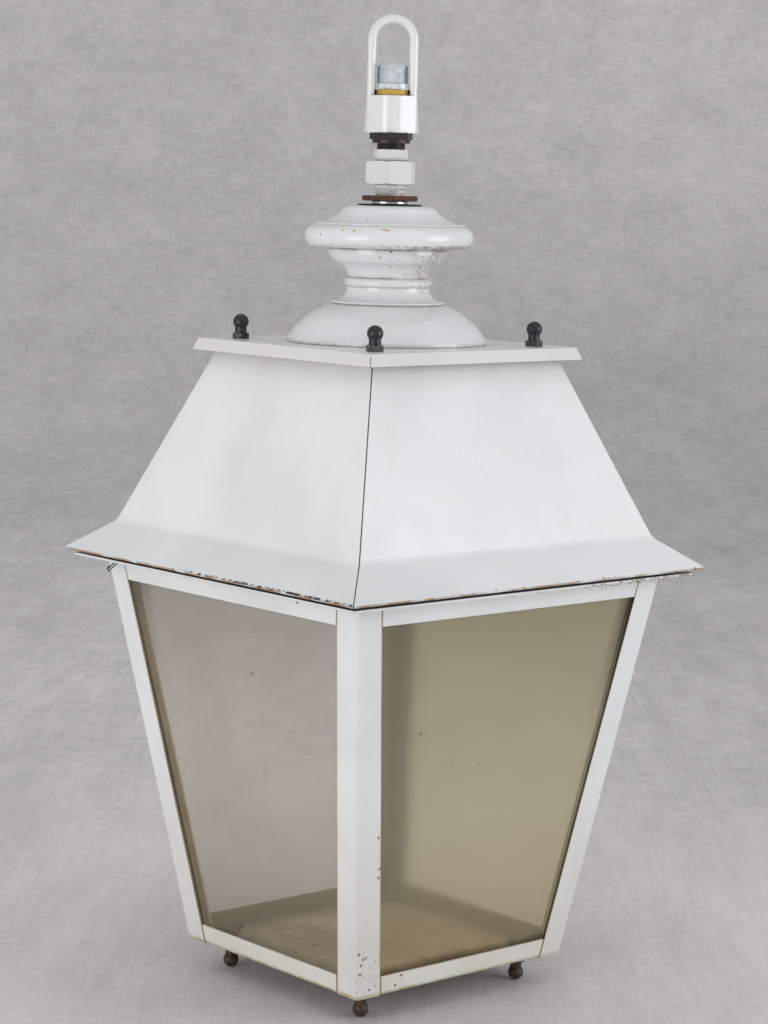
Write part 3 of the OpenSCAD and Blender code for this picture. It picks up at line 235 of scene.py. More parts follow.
class Finish:
    """A procedural material; each method adds nodes and returns the socket that carries its result."""

    def __init__(self, name, **fixed):
        self.material = bpy.data.materials.new(name)
        self.material.use_nodes = True
        self.nodes = self.material.node_tree.nodes
        self.links = self.material.node_tree.links
        self.surface = self.nodes["Principled BSDF"]
        for socket, value in fixed.items():
            self.surface.inputs[socket.replace("_", " ")].default_value = value
        self.place = self.add("ShaderNodeTexCoord").outputs["Object"]
        self.x, self.y, self.z = self.add("ShaderNodeSeparateXYZ", {0: self.place}).outputs

    def feed(self, socket, value):
        """Links a socket to the input, or sets a fixed number or colour on it."""
        if isinstance(value, bpy.types.NodeSocket):
            self.links.new(value, socket)
        elif socket.type == "RGBA" and len(value) == 3:
            socket.default_value = (*value, 1.0)
        else:
            socket.default_value = value

    def add(self, kind, inputs=None, **settings):
        """A new node with its settings, and its inputs fed by name or number."""
        node = self.nodes.new(kind)
        for name, value in settings.items():
            setattr(node, name, value)
        for name, value in (inputs or {}).items():
            self.feed(node.inputs[name], value)
        return node

    def calc(self, operation, *values):
        return self.add("ShaderNodeMath", dict(enumerate(values)), operation=operation).outputs[0]

    def chain(self, operation, values):
        """The operation over all the values, from the first to the last."""
        result = values[0]
        for value in values[1:]:
            result = self.calc(operation, result, value)
        return result

    def times(self, *values):
        return self.chain("MULTIPLY", values)

    def plus(self, *values):
        return self.chain("ADD", values)

    def most(self, *values):
        return self.chain("MAXIMUM", values)

    def minus(self, first, second):
        return self.calc("SUBTRACT", first, second)

    def size_of(self, value):
        return self.calc("ABSOLUTE", value)

    def between(self, value, low, high):
        """0 at low, 1 at high, straight in between; low may be the larger one."""
        return self.add("ShaderNodeMapRange", {0: value, 1: low, 2: high}, clamp=True).outputs[0]

    def zone(self, value, low, high, soft):
        """1 from low to high, falling to 0 over the soft distance outside them."""
        return self.times(self.between(value, low - soft, low), self.between(value, high + soft, high))

    def mix(self, amount, first, second):
        node = self.add("ShaderNodeMix", {0: amount, 6: first, 7: second}, data_type="RGBA")
        return node.outputs[2]

    def over(self, coat, layer, *shares):
        """The coat with a layer over it, as strong as the product of the shares."""
        return self.mix(self.times(*shares), coat, layer)

    def moved(self, stretch, shift):
        """The place on the surface, stretched and shifted, so that textures differ from each other."""
        settings = {"Vector": self.place, "Scale": stretch, "Location": (shift, shift, shift)}
        return self.add("ShaderNodeMapping", settings).outputs[0]

    def noise(self, size, detail=3.0, rough=0.55, stretch=(1, 1, 1), shift=0.0):
        """Cloudy noise from 0 to 1, with clouds of about the given size in metres."""
        settings = {"Vector": self.moved(stretch, shift), "Scale": 1 / size, "Detail": detail,
                    "Roughness": rough}
        return self.add("ShaderNodeTexNoise", settings).outputs[0]

    def drift(self, size, low, high, **more):
        """Cloudy noise, 0 where it is at its low level and 1 at its high level."""
        return self.between(self.noise(size, **more), low, high)

    def patches(self, size, share, soft=0.04, **more):
        """Ragged patches that cover about the given share of the surface."""
        edge = 0.5 + (0.5 - share) * 0.45
        return self.drift(size, edge, edge + soft, **more)

    def specks(self, spacing, radius, share, shift=0.0):
        """Small round specks, in the given share of a grid's cells."""
        settings = {"Vector": self.moved((1, 1, 1), shift), "Scale": 1 / spacing}
        cells = self.add("ShaderNodeTexVoronoi", settings).outputs
        near = self.between(cells["Distance"], radius / spacing, 0.6 * radius / spacing)
        pick = self.add("ShaderNodeSeparateXYZ", {0: cells["Color"]}).outputs[0]
        return self.times(near, self.calc("LESS_THAN", pick, share))

    def dot(self, first, second):
        node = self.add("ShaderNodeVectorMath", {0: first, 1: second}, operation="DOT_PRODUCT")
        return node.outputs["Value"]

    def rounded(self, radius):
        """Normals of the solid as if its edges were rounded by the given radius."""
        return self.add("ShaderNodeBevel", {"Radius": radius}, samples=BEVEL_SAMPLES).outputs[0]

    def edges(self, radius):
        """1 on the outer and inner edges of the solid, within about the given radius."""
        flat = self.add("ShaderNodeNewGeometry").outputs["True Normal"]
        return self.between(self.dot(self.rounded(radius), flat), 0.995, 0.85)

    def crevices(self, distance):
        """1 where the surface is closed in by its neighbours within the given distance."""
        open_share = self.add("ShaderNodeAmbientOcclusion", {"Distance": distance},
                              samples=OCCLUSION_SAMPLES).outputs["AO"]
        return self.between(open_share, 0.95, 0.35)

    def outward(self):
        """Level direction from the lantern's stem to the point."""
        level = self.add("ShaderNodeCombineXYZ", {0: self.x, 1: self.y}).outputs[0]
        return self.add("ShaderNodeVectorMath", {0: level}, operation="NORMALIZE").outputs[0]

    def toward(self, direction):
        """Cosine between a level direction and the way that the point lies from the lantern's stem."""
        return self.dot(self.outward(), tuple(direction))

    def facing(self):
        """Way a face looks, in the piece's own frame, so that it stays the same when the piece moves."""
        normal = self.add("ShaderNodeNewGeometry").outputs["True Normal"]
        return self.add("ShaderNodeVectorTransform", {0: normal}, vector_type="NORMAL",
                        convert_from="WORLD", convert_to="OBJECT").outputs[0]

    def inward(self):
        """1 on faces that look toward the lantern's stem."""
        return self.between(self.dot(self.outward(), self.facing()), -0.35, -0.55)

    def flatness(self):
        """1 on level faces, whether they look up or down, and 0 on upright ones."""
        return self.size_of(self.add("ShaderNodeSeparateXYZ", {0: self.facing()}).outputs[2])

    def spots(self, centres, radius):
        """Ragged spots round the given points."""
        reach = radius * 1.6
        ragged = self.times(self.noise(radius * 0.8, detail=5.0, rough=0.7), reach)
        result = 0.0
        for centre in centres:
            gap = self.add("ShaderNodeVectorMath", {0: self.place, 1: tuple(centre)}, operation="DISTANCE")
            spread = self.plus(gap.outputs["Value"], ragged)
            result = self.most(result, self.between(spread, reach, radius * 1.4))
        return result

    def bump(self, *layers, edge=0.0):
        """Relief from pairs of height socket and depth in metres, over edges rounded by a small radius."""
        normal = self.rounded(edge) if edge else None
        for height, depth in layers:
            inputs = {"Height": height, "Distance": depth}
            if normal:
                inputs["Normal"] = normal
            normal = self.add("ShaderNodeBump", inputs).outputs[0]
        self.links.new(normal, self.surface.inputs["Normal"])

    def done(self, colour, rough, **more):
        """Feeds the surface's colour, roughness and further sockets, and returns the material."""
        self.feed(self.surface.inputs["Base Color"], colour)
        self.feed(self.surface.inputs["Roughness"], rough)
        for socket, value in more.items():
            self.feed(self.surface.inputs[socket], value)
        return self.material


def dirty_paint(finish, colour, grime=0.4, smears=0.4, specks=0.3):
    """Colour of an old coat of paint: uneven, smeared, specked, with dirt in its crevices."""
    warm = tuple(part * warmth for part, warmth in zip(colour, COAT_WARMTH))
    coat = finish.mix(finish.drift(0.11, 0.35, 0.7), colour, scaled(colour, COAT_SHADE))
    smear = finish.patches(0.045, share=0.3, soft=0.35, detail=2.0, shift=3.0)
    coat = finish.over(coat, warm, smear, smears)
    faint = finish.times(finish.patches(0.0016, share=0.35, soft=0.12, detail=2.0, shift=7.0),
                         finish.patches(0.05, share=0.25, soft=0.2, detail=2.0, shift=8.0))
    coat = finish.over(coat, warm, faint, 0.8 * smears)
    coat = finish.over(coat, GREY_DIRT, finish.crevices(0.005), finish.drift(0.01, 0.3, 0.6), grime)
    coat = finish.over(coat, SEAM_DIRT, finish.between(finish.crevices(0.0016), 0.30, 0.65), grime)
    crowded = finish.drift(0.07, 0.42, 0.62, shift=11.0)
    small = finish.times(finish.specks(0.0034, radius=0.0005, share=0.30), crowded, specks)
    large = finish.times(finish.specks(0.013, radius=0.0008, share=0.22, shift=5.0), specks)
    return finish.over(coat, BROWN_DIRT, finish.most(small, large))


def paint_relief(finish, peel=0.00003, wave=0.0004, edge=0.0007):
    """Orange peel of brushed paint over the slow waves of thin sheet."""
    finish.bump((finish.noise(0.09, detail=1.0), wave), (finish.noise(0.0016, detail=2.0), peel), edge=edge)


def cage_fold_rust(finish, edges):
    """Rust along the cage's foot and its folds, where it thickens towards the floor."""
    foot = finish.times(finish.between(finish.z, CAGE_LOW + 0.0042, CAGE_LOW + 0.0022),
                        finish.drift(0.012, 0.25, 0.65, detail=5.0, rough=0.65, shift=6.0))
    near_floor = finish.between(finish.z, 0.26, 0.06)
    folds = finish.times(edges, finish.drift(0.05, 0.3, 0.55, shift=2.0),
                         finish.plus(0.35, finish.times(near_floor, 0.4)))
    return finish.most(foot, folds)


def cage_joint_dirt(finish):
    """Dirt in the upright seams where the corner posts meet the rails."""
    along = finish.calc("MINIMUM", finish.size_of(finish.x), finish.size_of(finish.y))
    edge, lean = inner_edge("corner_post_front_left")
    slant = finish.minus(along, finish.times(finish.z, lean))
    near_floor = finish.between(finish.z, 0.20, 0.06)
    return finish.times(finish.zone(slant, edge - 0.0014, edge + 0.0006, soft=0.0006),
                        finish.drift(0.04, 0.2, 0.5, shift=5.0),
                        finish.plus(0.40, finish.times(near_floor, 0.55)),
                        finish.between(finish.z, CAGE_HIGH + 0.001, CAGE_HIGH))


def cage_spot_rust(finish):
    """Single rust spots, and the crowd of them low on the front corner post."""
    corner = finish.times(finish.between(finish.z, 0.085, 0.045), finish.between(finish.y, -0.115, -0.122),
                          finish.zone(finish.x, -0.135, -0.100, soft=0.006))
    crowd = finish.times(corner, finish.patches(0.0030, share=0.24, detail=4.0, shift=2.0))
    return finish.most(finish.spots(CAGE_RUST, RUST_RADIUS), crowd)


def sheet_paint(name, colour=WHITE_PAINT, wear=0.5, **dirt):
    """White paint on folded sheet, worn through at its edges, with brown dirt and painted shade inside and
    under the roof.
    """
    finish = Finish(name, Coat_Weight=0.12, Coat_Roughness=0.25)
    coat = dirty_paint(finish, colour, **dirt)
    edges = finish.edges(0.0009)
    rubbed = finish.patches(0.014, share=0.30, soft=0.08, detail=6.0)
    coat = finish.over(coat, BROWN_DIRT, edges, rubbed, wear)
    coat = finish.over(coat, FOLD_RUST, cage_fold_rust(finish, edges))
    coat = finish.over(coat, JOINT_DIRT, cage_joint_dirt(finish))
    low = finish.times(finish.between(finish.z, 0.24, 0.03), finish.drift(0.08, 0.2, 0.6))
    coat = finish.over(coat, LOW_FILM, low, 0.42)
    coat = finish.over(coat, SPOT_RUST, cage_spot_rust(finish), 0.9)
    # Inner faces: brown dirt with painted shade, darker low down and on the +x side
    brown = finish.mix(finish.between(finish.z, 0.038, 0.049), INSIDE_LOW_DIRT_AND_SHADE, INSIDE_HIGH_DIRT_AND_SHADE)
    inner = finish.mix(finish.between(finish.x, 0.05, 0.10), brown, INSIDE_FAR_SHADE)
    coat = finish.over(coat, inner, finish.inward(), 0.9)
    # The flange's top under the eave: dark brown dirt with the eave's painted shadow
    covered = finish.zone(finish.z, CAGE_HIGH + 0.0023, CAGE_HIGH + 0.0040, soft=0.0004)
    dirt_and_shade = finish.mix(finish.patches(0.012, share=0.35, soft=0.3, detail=5.0), COVERED_DIRT_AND_SHADE_DARK, COVERED_DIRT_AND_SHADE_LIGHT)
    coat = finish.over(coat, dirt_and_shade, covered)
    upright = finish.between(finish.flatness(), 0.7, 0.3)
    rim = finish.between(finish.z, ROOF_TOP - 0.012, ROOF_TOP - 0.008)
    coat = finish.over(coat, RIM_DUST, rim, upright, 0.45)
    head = finish.times(finish.zone(finish.z, CAGE_HIGH - 0.0030, CAGE_HIGH, soft=0.008),
                        finish.between(finish.x, -0.10, 0.10), 0.25)
    soot = finish.plus(finish.noise(0.003, detail=4.0, rough=0.7), head)
    coat = finish.over(coat, BROWN_DIRT, finish.between(soot, 0.70, 0.76), 0.8)
    paint_relief(finish)
    return finish.done(coat, finish.drift(0.03, -0.4, 2.4))


def roof_paint():
    """The roof's paint: black chips and a rusty line along the eaves, dust and painted shadow under the
    crown, stains and painted shade inside.
    """
    finish = Finish("roof_paint", Coat_Weight=0.12, Coat_Roughness=0.25)
    coat = dirty_paint(finish, WHITE_PAINT, grime=0.5, smears=0.35, specks=0.35)
    # Dust and the crown's painted shadow high on the roof
    crown = finish.between(finish.z, ROOF_TOP - 0.034, ROOF_TOP - 0.018)
    coat = finish.over(coat, ROOF_DUST_AND_SHADE, crown, finish.drift(0.03, 0.2, 0.7, detail=4.0, shift=2.0), 0.22)
    lip = finish.between(finish.z, EAVE_LOW + 0.0024, EAVE_LOW + 0.0014)
    line = finish.times(lip, finish.patches(0.02, share=0.75, soft=0.15, detail=5.0, shift=4.0))
    coat = finish.over(coat, EAVE_RUST, line, 0.9)
    # Inner faces of the roof: brown stains with painted shade
    stain_and_shade = finish.mix(finish.drift(0.05, 0.35, 0.65, detail=5.0), ROOF_STAIN_AND_SHADE_DARK, ROOF_STAIN_AND_SHADE_LIGHT)
    coat = finish.over(coat, stain_and_shade, finish.inward(), 0.85)
    left_eave = finish.times(finish.between(finish.x, -EAVE_HALF + 0.009, -EAVE_HALF + 0.006),
                             finish.between(finish.y, 0.04, -0.02))
    low = finish.zone(finish.z, EAVE_LOW + 0.0015, EAVE_LOW + 0.0027, soft=0.0008)
    chip_noise = finish.noise(0.0045, detail=5.0, rough=0.7, shift=9.0)
    chip_level = finish.plus(chip_noise, finish.times(left_eave, 0.16))
    chips = finish.times(low, finish.between(chip_level, 0.63, 0.65))
    coat = finish.over(coat, DARK_CHIP, finish.between(chips, 0.3, 0.6))
    paint_relief(finish, wave=0.0006)
    return finish.done(coat, finish.drift(0.03, -0.4, 2.4))


def cap_paint():
    """Paint on the turned cap: dirt in its grooves and under its roll, single rust spots and chips."""
    finish = Finish("cap_paint", Coat_Weight=0.45, Coat_Roughness=0.14)
    coat = dirty_paint(finish, CAST_PAINT, grime=0.6, smears=0.25, specks=0.25)
    dirty_side = finish.between(finish.toward(CAP_DIRTY_SIDE), -0.35, 0.75)
    height = finish.minus(finish.z, CAP_FOOT)
    under = finish.zone(height, *CAP_UNDER_ROLL)
    waist = finish.zone(height, *CAP_WAIST)
    crowd = finish.times(finish.most(under, finish.times(waist, 0.75)), dirty_side, 0.27)
    grains = finish.plus(finish.noise(0.0021, detail=3.0, rough=0.75), crowd)
    coat = finish.over(coat, BROWN_DIRT, finish.between(grains, 0.74, 0.82), 0.7)
    haze = finish.times(under, dirty_side, finish.patches(0.010, share=0.45, soft=0.3, detail=4.0))
    coat = finish.over(coat, GREY_DIRT, haze, 0.30)
    for groove, strength in CAP_GROOVES.items():
        line = finish.zone(height, groove - 0.0003, groove + 0.0003, soft=0.0010)
        ragged = finish.drift(0.013, 0.25, 0.75, detail=6.0, rough=0.65, shift=groove * 900)
        coat = finish.over(coat, SEAM_DIRT, line, ragged, strength)
    rim = finish.times(finish.zone(height, *CAP_RIM),
                       finish.drift(0.0045, 0.40, 0.60, detail=5.0, rough=0.7, shift=1.0),
                       finish.plus(0.30, finish.times(dirty_side, 0.65)))
    coat = finish.over(coat, RIM_DIRT, rim)
    coat = finish.over(coat, OCHRE_RUST, finish.spots(CAP_RUST, RUST_RADIUS), 0.85)
    coat = finish.over(coat, RUST_DARK, finish.spots(CAP_CHIPS, CHIP_RADIUS), 0.95)
    finish.bump((finish.noise(0.02, detail=2.0), 0.0004), (finish.noise(0.002, detail=2.0), 0.00005),
                edge=0.0008)
    return finish.done(coat, finish.drift(0.02, -0.45, 2.9))


def pipe_paint():
    """Brushed paint on pipe and union, rubbed through at the edges."""
    finish = Finish("pipe_paint", Coat_Weight=0.35, Coat_Roughness=0.18)
    coat = dirty_paint(finish, PIPE_PAINT, grime=0.9, smears=0.6, specks=0.5)
    worn = finish.patches(0.004, share=0.5, soft=0.1, detail=5.0)
    coat = finish.over(coat, BROWN_DIRT, finish.edges(0.0014), worn, 0.75)
    finish.bump((finish.noise(0.006, detail=2.0), 0.0003), edge=0.0006)
    return finish.done(coat, 0.42)


def gloss_paint():
    """Thick high-gloss paint of the stirrup, with brown runs on the inner faces by the gland."""
    finish = Finish("gloss_paint", Coat_Weight=0.6, Coat_Roughness=0.11)
    coat = dirty_paint(finish, GLOSS_PAINT, grime=0.5, smears=0.15, specks=0.25)
    stirrup_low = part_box("stirrup")[0].z
    low = finish.between(finish.z, stirrup_low + 0.075, stirrup_low + 0.045)
    runs = finish.times(low, finish.crevices(0.02), finish.patches(0.006, share=0.3, detail=5.0))
    coat = finish.over(coat, RUST_DARK, runs, 0.9)
    finish.bump((finish.noise(0.01, detail=2.0), 0.0003), edge=0.0010)
    return finish.done(coat, 0.24)


def rusty_metal(name, dark, light, rough=0.75, share=0.5, metallic=0.2):
    """Iron with a ragged mix of dark skin and rust."""
    finish = Finish(name, Metallic=metallic)
    coat = finish.mix(finish.patches(0.004, share, soft=0.2, detail=6.0, rough=0.65), dark, light)
    pits = finish.patches(0.0016, share=0.3, detail=4.0, shift=3.0)
    coat = finish.over(coat, scaled(dark, 0.6), pits, 0.5)
    finish.bump((finish.noise(0.0022, detail=5.0, rough=0.6), 0.00035), edge=0.0006)
    return finish.done(coat, finish.drift(0.005, 0.7 - rough, 1.2))


def strip_paint():
    """Dirty brown paint of the strips inside the cage, darker with painted shade on the far side, and cream
    along their edges, worn and with a painted highlight.
    """
    finish = Finish("strip_paint")
    coat = finish.mix(finish.drift(0.03, 0.35, 0.65, detail=4.0), STRIP_PAINT_DARK, STRIP_PAINT_LIGHT)
    # Painted shade on the strips of the +x side
    coat = finish.over(coat, STRIP_PAINT_FAR_SHADE, finish.between(finish.x, 0.10, 0.115), 0.85)
    edge, lean = inner_edge("glazing_strips")
    slant = finish.minus(finish.size_of(finish.x), finish.times(finish.z, lean))
    # Cream edge: wear with a painted highlight
    rubbed = finish.times(finish.between(slant, edge + 0.0022, edge + 0.0012),
                          finish.drift(0.03, 0.15, 0.4, shift=2.0))
    coat = finish.over(coat, STRIP_WORN_AND_LIT_EDGE, rubbed, 0.85)
    coat = finish.over(coat, BROWN_DIRT, finish.specks(0.008, radius=0.0009, share=0.3), 0.8)
    paint_relief(finish)
    return finish.done(coat, 0.55)


def zinc_metal(name, colour, rough=0.42, grime=0.5, metallic=0.85):
    """Dull zinc or alloy with a cloudy bloom and dirt in its corners."""
    finish = Finish(name, Metallic=metallic)
    coat = finish.mix(finish.drift(0.006, 0.35, 0.65, detail=5.0), colour, scaled(colour, 0.72))
    coat = finish.over(coat, BROWN_DIRT, finish.crevices(0.004), grime)
    finish.bump((finish.noise(0.0015, detail=3.0), 0.00008), edge=0.0005)
    return finish.done(coat, finish.drift(0.004, 0.35 - rough, 1.25 - rough * 0.2))


def brass_metal():
    """Brass with patches of tarnish and dirt in its corners."""
    finish = Finish("brass_metal", Metallic=0.75)
    tarnish = finish.patches(0.004, share=0.35, soft=0.25, detail=5.0)
    coat = finish.over(BRASS, BRASS_TARNISH, tarnish, 0.6)
    coat = finish.over(coat, BROWN_DIRT, finish.crevices(0.003), 0.6)
    finish.bump((finish.noise(0.0012, detail=3.0), 0.00006), edge=0.0004)
    return finish.done(coat, finish.drift(0.004, -0.3, 1.5))


def bright_metal():
    """Bright turned steel with a few stains."""
    finish = Finish("bright_metal", Metallic=1.0)
    stains = finish.patches(0.004, share=0.25, soft=0.2, detail=4.0)
    coat = finish.mix(stains, STEEL_BRIGHT, STEEL_STAINED)
    turned = finish.noise(0.0008, detail=2.0, stretch=(0.1, 0.1, 1))
    finish.bump((turned, 0.00003), edge=0.0003)
    return finish.done(coat, finish.drift(0.003, -0.2, 2.2))


def rubber():
    """Black rubber with patches of dust."""
    finish = Finish("rubber")
    coat = finish.mix(finish.patches(0.004, share=0.3, soft=0.3, detail=4.0), RUBBER, RUBBER_DUST)
    finish.bump((finish.noise(0.0008, detail=3.0), 0.00005))
    return finish.done(coat, 0.72)


def glazed_body():
    """Glazed porcelain with dirt in its corners."""
    finish = Finish("glazed_body", Coat_Weight=0.6, Coat_Roughness=0.08)
    coat = finish.mix(finish.drift(0.02, 0.3, 0.7), PORCELAIN, PORCELAIN_SHADE)
    coat = finish.over(coat, BROWN_DIRT, finish.crevices(0.006), 0.4)
    finish.bump((finish.noise(0.006, detail=2.0), 0.00015), edge=0.0008)
    return finish.done(coat, 0.22)


def clear_pane():
    """Old clear sheet, slightly smoked, darker under its head with smoke and painted shade, with a film
    that thickens by the frame, and a few scratches.
    """
    finish = Finish("clear_pane", IOR=1.49)
    framed = finish.crevices(0.035)
    cloud = finish.drift(0.09, 0.3, 0.75, detail=4.0)
    # Smoke, and painted shade from the roof, darken the pane towards its head
    smoke_and_shade = finish.between(finish.z, PANE_HIGH - SMOKE_AND_SHADE_DEPTH, PANE_HIGH)
    specks = finish.specks(0.022, radius=0.0010, share=0.2)
    # Painted shade with streaks of reflection in one upper corner of the pane
    corner = finish.times(finish.between(finish.y, 0.118, 0.136), finish.between(finish.z, 0.27, 0.37),
                          finish.between(finish.x, -0.145, -0.155),
                          finish.drift(0.012, 0.2, 0.6, stretch=(1, 1, 0.15), shift=2.0))
    low = finish.between(finish.z, 0.22, 0.08)
    marks = finish.spots(PANE_MARKS, MARK_RADIUS)
    veil = finish.add("ShaderNodeLayerWeight", {"Blend": 0.25}).outputs["Fresnel"]
    film = finish.plus(0.075, finish.times(cloud, 0.035), finish.times(framed, 0.10),
                       finish.times(smoke_and_shade, 0.07), finish.times(specks, 0.6), finish.times(corner, 0.45),
                       finish.times(low, 0.05), finish.times(marks, 0.5), finish.times(veil, 0.08))
    colour = finish.mix(cloud, CLEAR_FILM_DARK, CLEAR_FILM_LIGHT)
    colour = finish.over(colour, CLEAR_SMOKE_AND_SHADE, smoke_and_shade, 0.8)
    colour = finish.over(colour, CLEAR_LOW, low, 0.7)
    # Dark marks, and the painted shade in the upper corner
    colour = finish.over(colour, CLEAR_MARK_AND_SHADE, finish.most(marks, finish.times(corner, 0.9)))
    return finish.done(colour, 0.12, Alpha=film)


def yellow_pane():
    """Yellowed pane that blurs what lies behind it, the more so the further it is."""
    finish = Finish("yellow_pane", IOR=1.12, Transmission_Weight=0.86)
    colour = finish.mix(finish.drift(0.10, 0.3, 0.75, detail=4.0), YELLOW_DARK, YELLOW_LIGHT)
    # Smoke, and painted shade from the roof, darken the pane towards its head
    smoke_and_shade = finish.between(finish.z, PANE_HIGH - SMOKE_AND_SHADE_DEPTH, PANE_HIGH)
    colour = finish.over(colour, YELLOW_SMOKE_AND_SHADE, smoke_and_shade, 0.45)
    colour = finish.over(colour, YELLOW_AMBER, finish.between(finish.z, 0.17, 0.05), 0.6)
    colour = finish.over(colour, YELLOW_FRAMED, finish.crevices(0.05), 0.35)
    sill = finish.plus(finish.z, finish.times(finish.noise(0.03, detail=5.0, shift=3.0), -0.012))
    grime = finish.between(sill, PANE_LOW + 0.0165, PANE_LOW + 0.0085)
    colour = finish.over(colour, YELLOW_SILL, grime, 0.75)
    slant = finish.minus(finish.x, finish.times(finish.z, PANE_LEAN))
    corner = finish.times(finish.between(slant, 0.066, 0.080), finish.between(finish.z, 0.26, 0.37))
    colour = finish.over(colour, YELLOW_CORNER, corner, 0.8)
    specks = finish.most(finish.specks(0.018, radius=0.0012, share=0.22),
                         finish.specks(0.007, radius=0.0005, share=0.12, shift=3.0),
                         finish.specks(0.045, radius=0.0017, share=0.4, shift=6.0))
    colour = finish.over(colour, YELLOW_SPECK, specks, 0.85)
    finish.bump((finish.noise(0.03, detail=2.0), 0.0004))
    return finish.done(colour, 0.22)


def dusty_pane():
    """Floor pane under brown dust that also stands for the shaded floor beneath it, darker by the rails
    with painted shade, with stains and specks.
    """
    finish = Finish("dusty_pane", IOR=1.49)
    # Brown dust, partly the painted shade of the floor seen through the pane
    colour = finish.mix(finish.drift(0.05, 0.35, 0.65, detail=6.0, rough=0.62), FLOOR_DUST_AND_SHADE_DARK,
                        FLOOR_DUST_AND_SHADE_LIGHT)
    stain = finish.patches(0.06, share=0.28, soft=0.1, detail=5.0, shift=5.0)
    colour = finish.over(colour, FLOOR_STAIN, stain, 0.65)
    # Painted shade along the rails
    reach = finish.most(finish.size_of(finish.x), finish.size_of(finish.y))
    ragged = finish.plus(reach, finish.times(finish.noise(0.03, detail=4.0, shift=1.0), 0.02))
    colour = finish.over(colour, FLOOR_EDGE_SHADE, finish.between(ragged, 0.092, 0.124), 0.8)
    colour = finish.over(colour, FLOOR_SPECK, finish.specks(0.009, radius=0.0011, share=0.3))
    finish.bump((finish.noise(0.002, detail=4.0), 0.0003))
    return finish.done(colour, 0.6, Alpha=0.92)


def cloth_weave(finish, away):
    """Threads both ways, fine by the lantern and coarse further off, read from 0 to 1."""
    near_weave = finish.plus(finish.noise(0.0018, detail=1.0, stretch=(0.10, 1, 1)),
                             finish.noise(0.0018, detail=1.0, stretch=(1, 0.10, 1), shift=4.0))
    far_weave = finish.plus(finish.noise(0.0048, detail=1.0, stretch=(0.10, 1, 1), shift=2.0),
                            finish.noise(0.0048, detail=1.0, stretch=(1, 0.10, 1), shift=6.0))
    weave = finish.plus(finish.times(near_weave, finish.minus(1.0, away)), finish.times(far_weave, away))
    level = finish.between(weave, 0.0, 2.0)
    grain = finish.drift(0.035, 0.3, 0.7, detail=6.0, rough=0.75, shift=8.0)
    folds = finish.drift(0.16, 0.3, 0.7, detail=3.0, shift=5.0)
    return finish.plus(level, finish.times(finish.minus(grain, 0.5), 0.42),
                       finish.times(finish.minus(folds, 0.5), 0.25))


def canvas_stage():
    """Grey canvas: lit by the lamps near the lantern, and further off shown at a set level under painted
    shade, darker at middle distance and lighter high up, both more so to the right.
    """
    finish = Finish("canvas", Specular_IOR_Level=0.15)
    squares = finish.plus(finish.times(finish.x, finish.x), finish.times(finish.y, finish.y))
    radius = finish.calc("SQRT", squares)
    away = finish.between(radius, 0.35, 0.95)
    side = finish.plus(finish.times(finish.x, ACROSS_VIEW.x), finish.times(finish.y, ACROSS_VIEW.y))
    behind = finish.plus(finish.times(finish.x, CAMERA_HEADING.x), finish.times(finish.y, CAMERA_HEADING.y))
    cloud = finish.drift(2.2, 0.35, 0.65, detail=1.0)
    # The cloth runs from the floor up the wall, so its threads follow the slope
    slope = finish.plus(finish.times(behind, 0.22), finish.z)
    finish.place = finish.add("ShaderNodeCombineXYZ", {0: side, 1: slope}).outputs[0]
    mottled = cloth_weave(finish, away)
    lit = finish.mix(mottled, scaled(FLOOR_CANVAS, 0.82), scaled(FLOOR_CANVAS, 1.18))
    crumbs = finish.specks(0.05, radius=0.0022, share=0.22)
    finish.done(finish.over(lit, BROWN_DIRT, crumbs, 0.75), 0.9)
    # Painted shade over the far canvas
    rightward = finish.between(side, -0.5, 0.9)
    middle = finish.zone(behind, 3.0, 6.6, soft=1.6)
    lower = finish.zone(behind, 0.6, 2.6, soft=0.8)
    upper = finish.between(finish.z, 0.15, 0.8)
    shade = finish.plus(1.10, finish.times(middle, -0.19), finish.times(middle, rightward, -0.10),
                        finish.times(upper, 0.09), finish.times(upper, rightward, 0.17),
                        finish.times(lower, rightward, -0.06))
    even = finish.mix(cloud, scaled(CANVAS, 0.97), scaled(CANVAS, 1.03))
    thread = finish.mix(mottled, (0.78, 0.78, 0.78), (1.22, 1.22, 1.22))
    thread = finish.add("ShaderNodeVectorMath", {0: thread, 3: shade}, operation="SCALE").outputs[0]
    colour = finish.add("ShaderNodeMix", {0: 1.0, 6: even, 7: thread}, data_type="RGBA",
                        blend_type="MULTIPLY").outputs[2]
    glow = finish.add("ShaderNodeEmission", {"Color": colour}).outputs[0]
    see_through = finish.add("ShaderNodeBsdfTransparent").outputs[0]
    rays = finish.add("ShaderNodeLightPath").outputs
    seen = finish.most(rays["Is Camera Ray"], rays["Is Glossy Ray"], rays["Is Transmission Ray"])
    far = finish.add("ShaderNodeMixShader", {0: seen, 1: see_through, 2: glow}).outputs[0]
    both = finish.add("ShaderNodeMixShader", {0: away, 1: finish.surface.outputs[0], 2: far}).outputs[0]
    output = next(n for n in finish.nodes if n.bl_idname == "ShaderNodeOutputMaterial")
    finish.links.new(both, output.inputs["Surface"])
    return finish.material


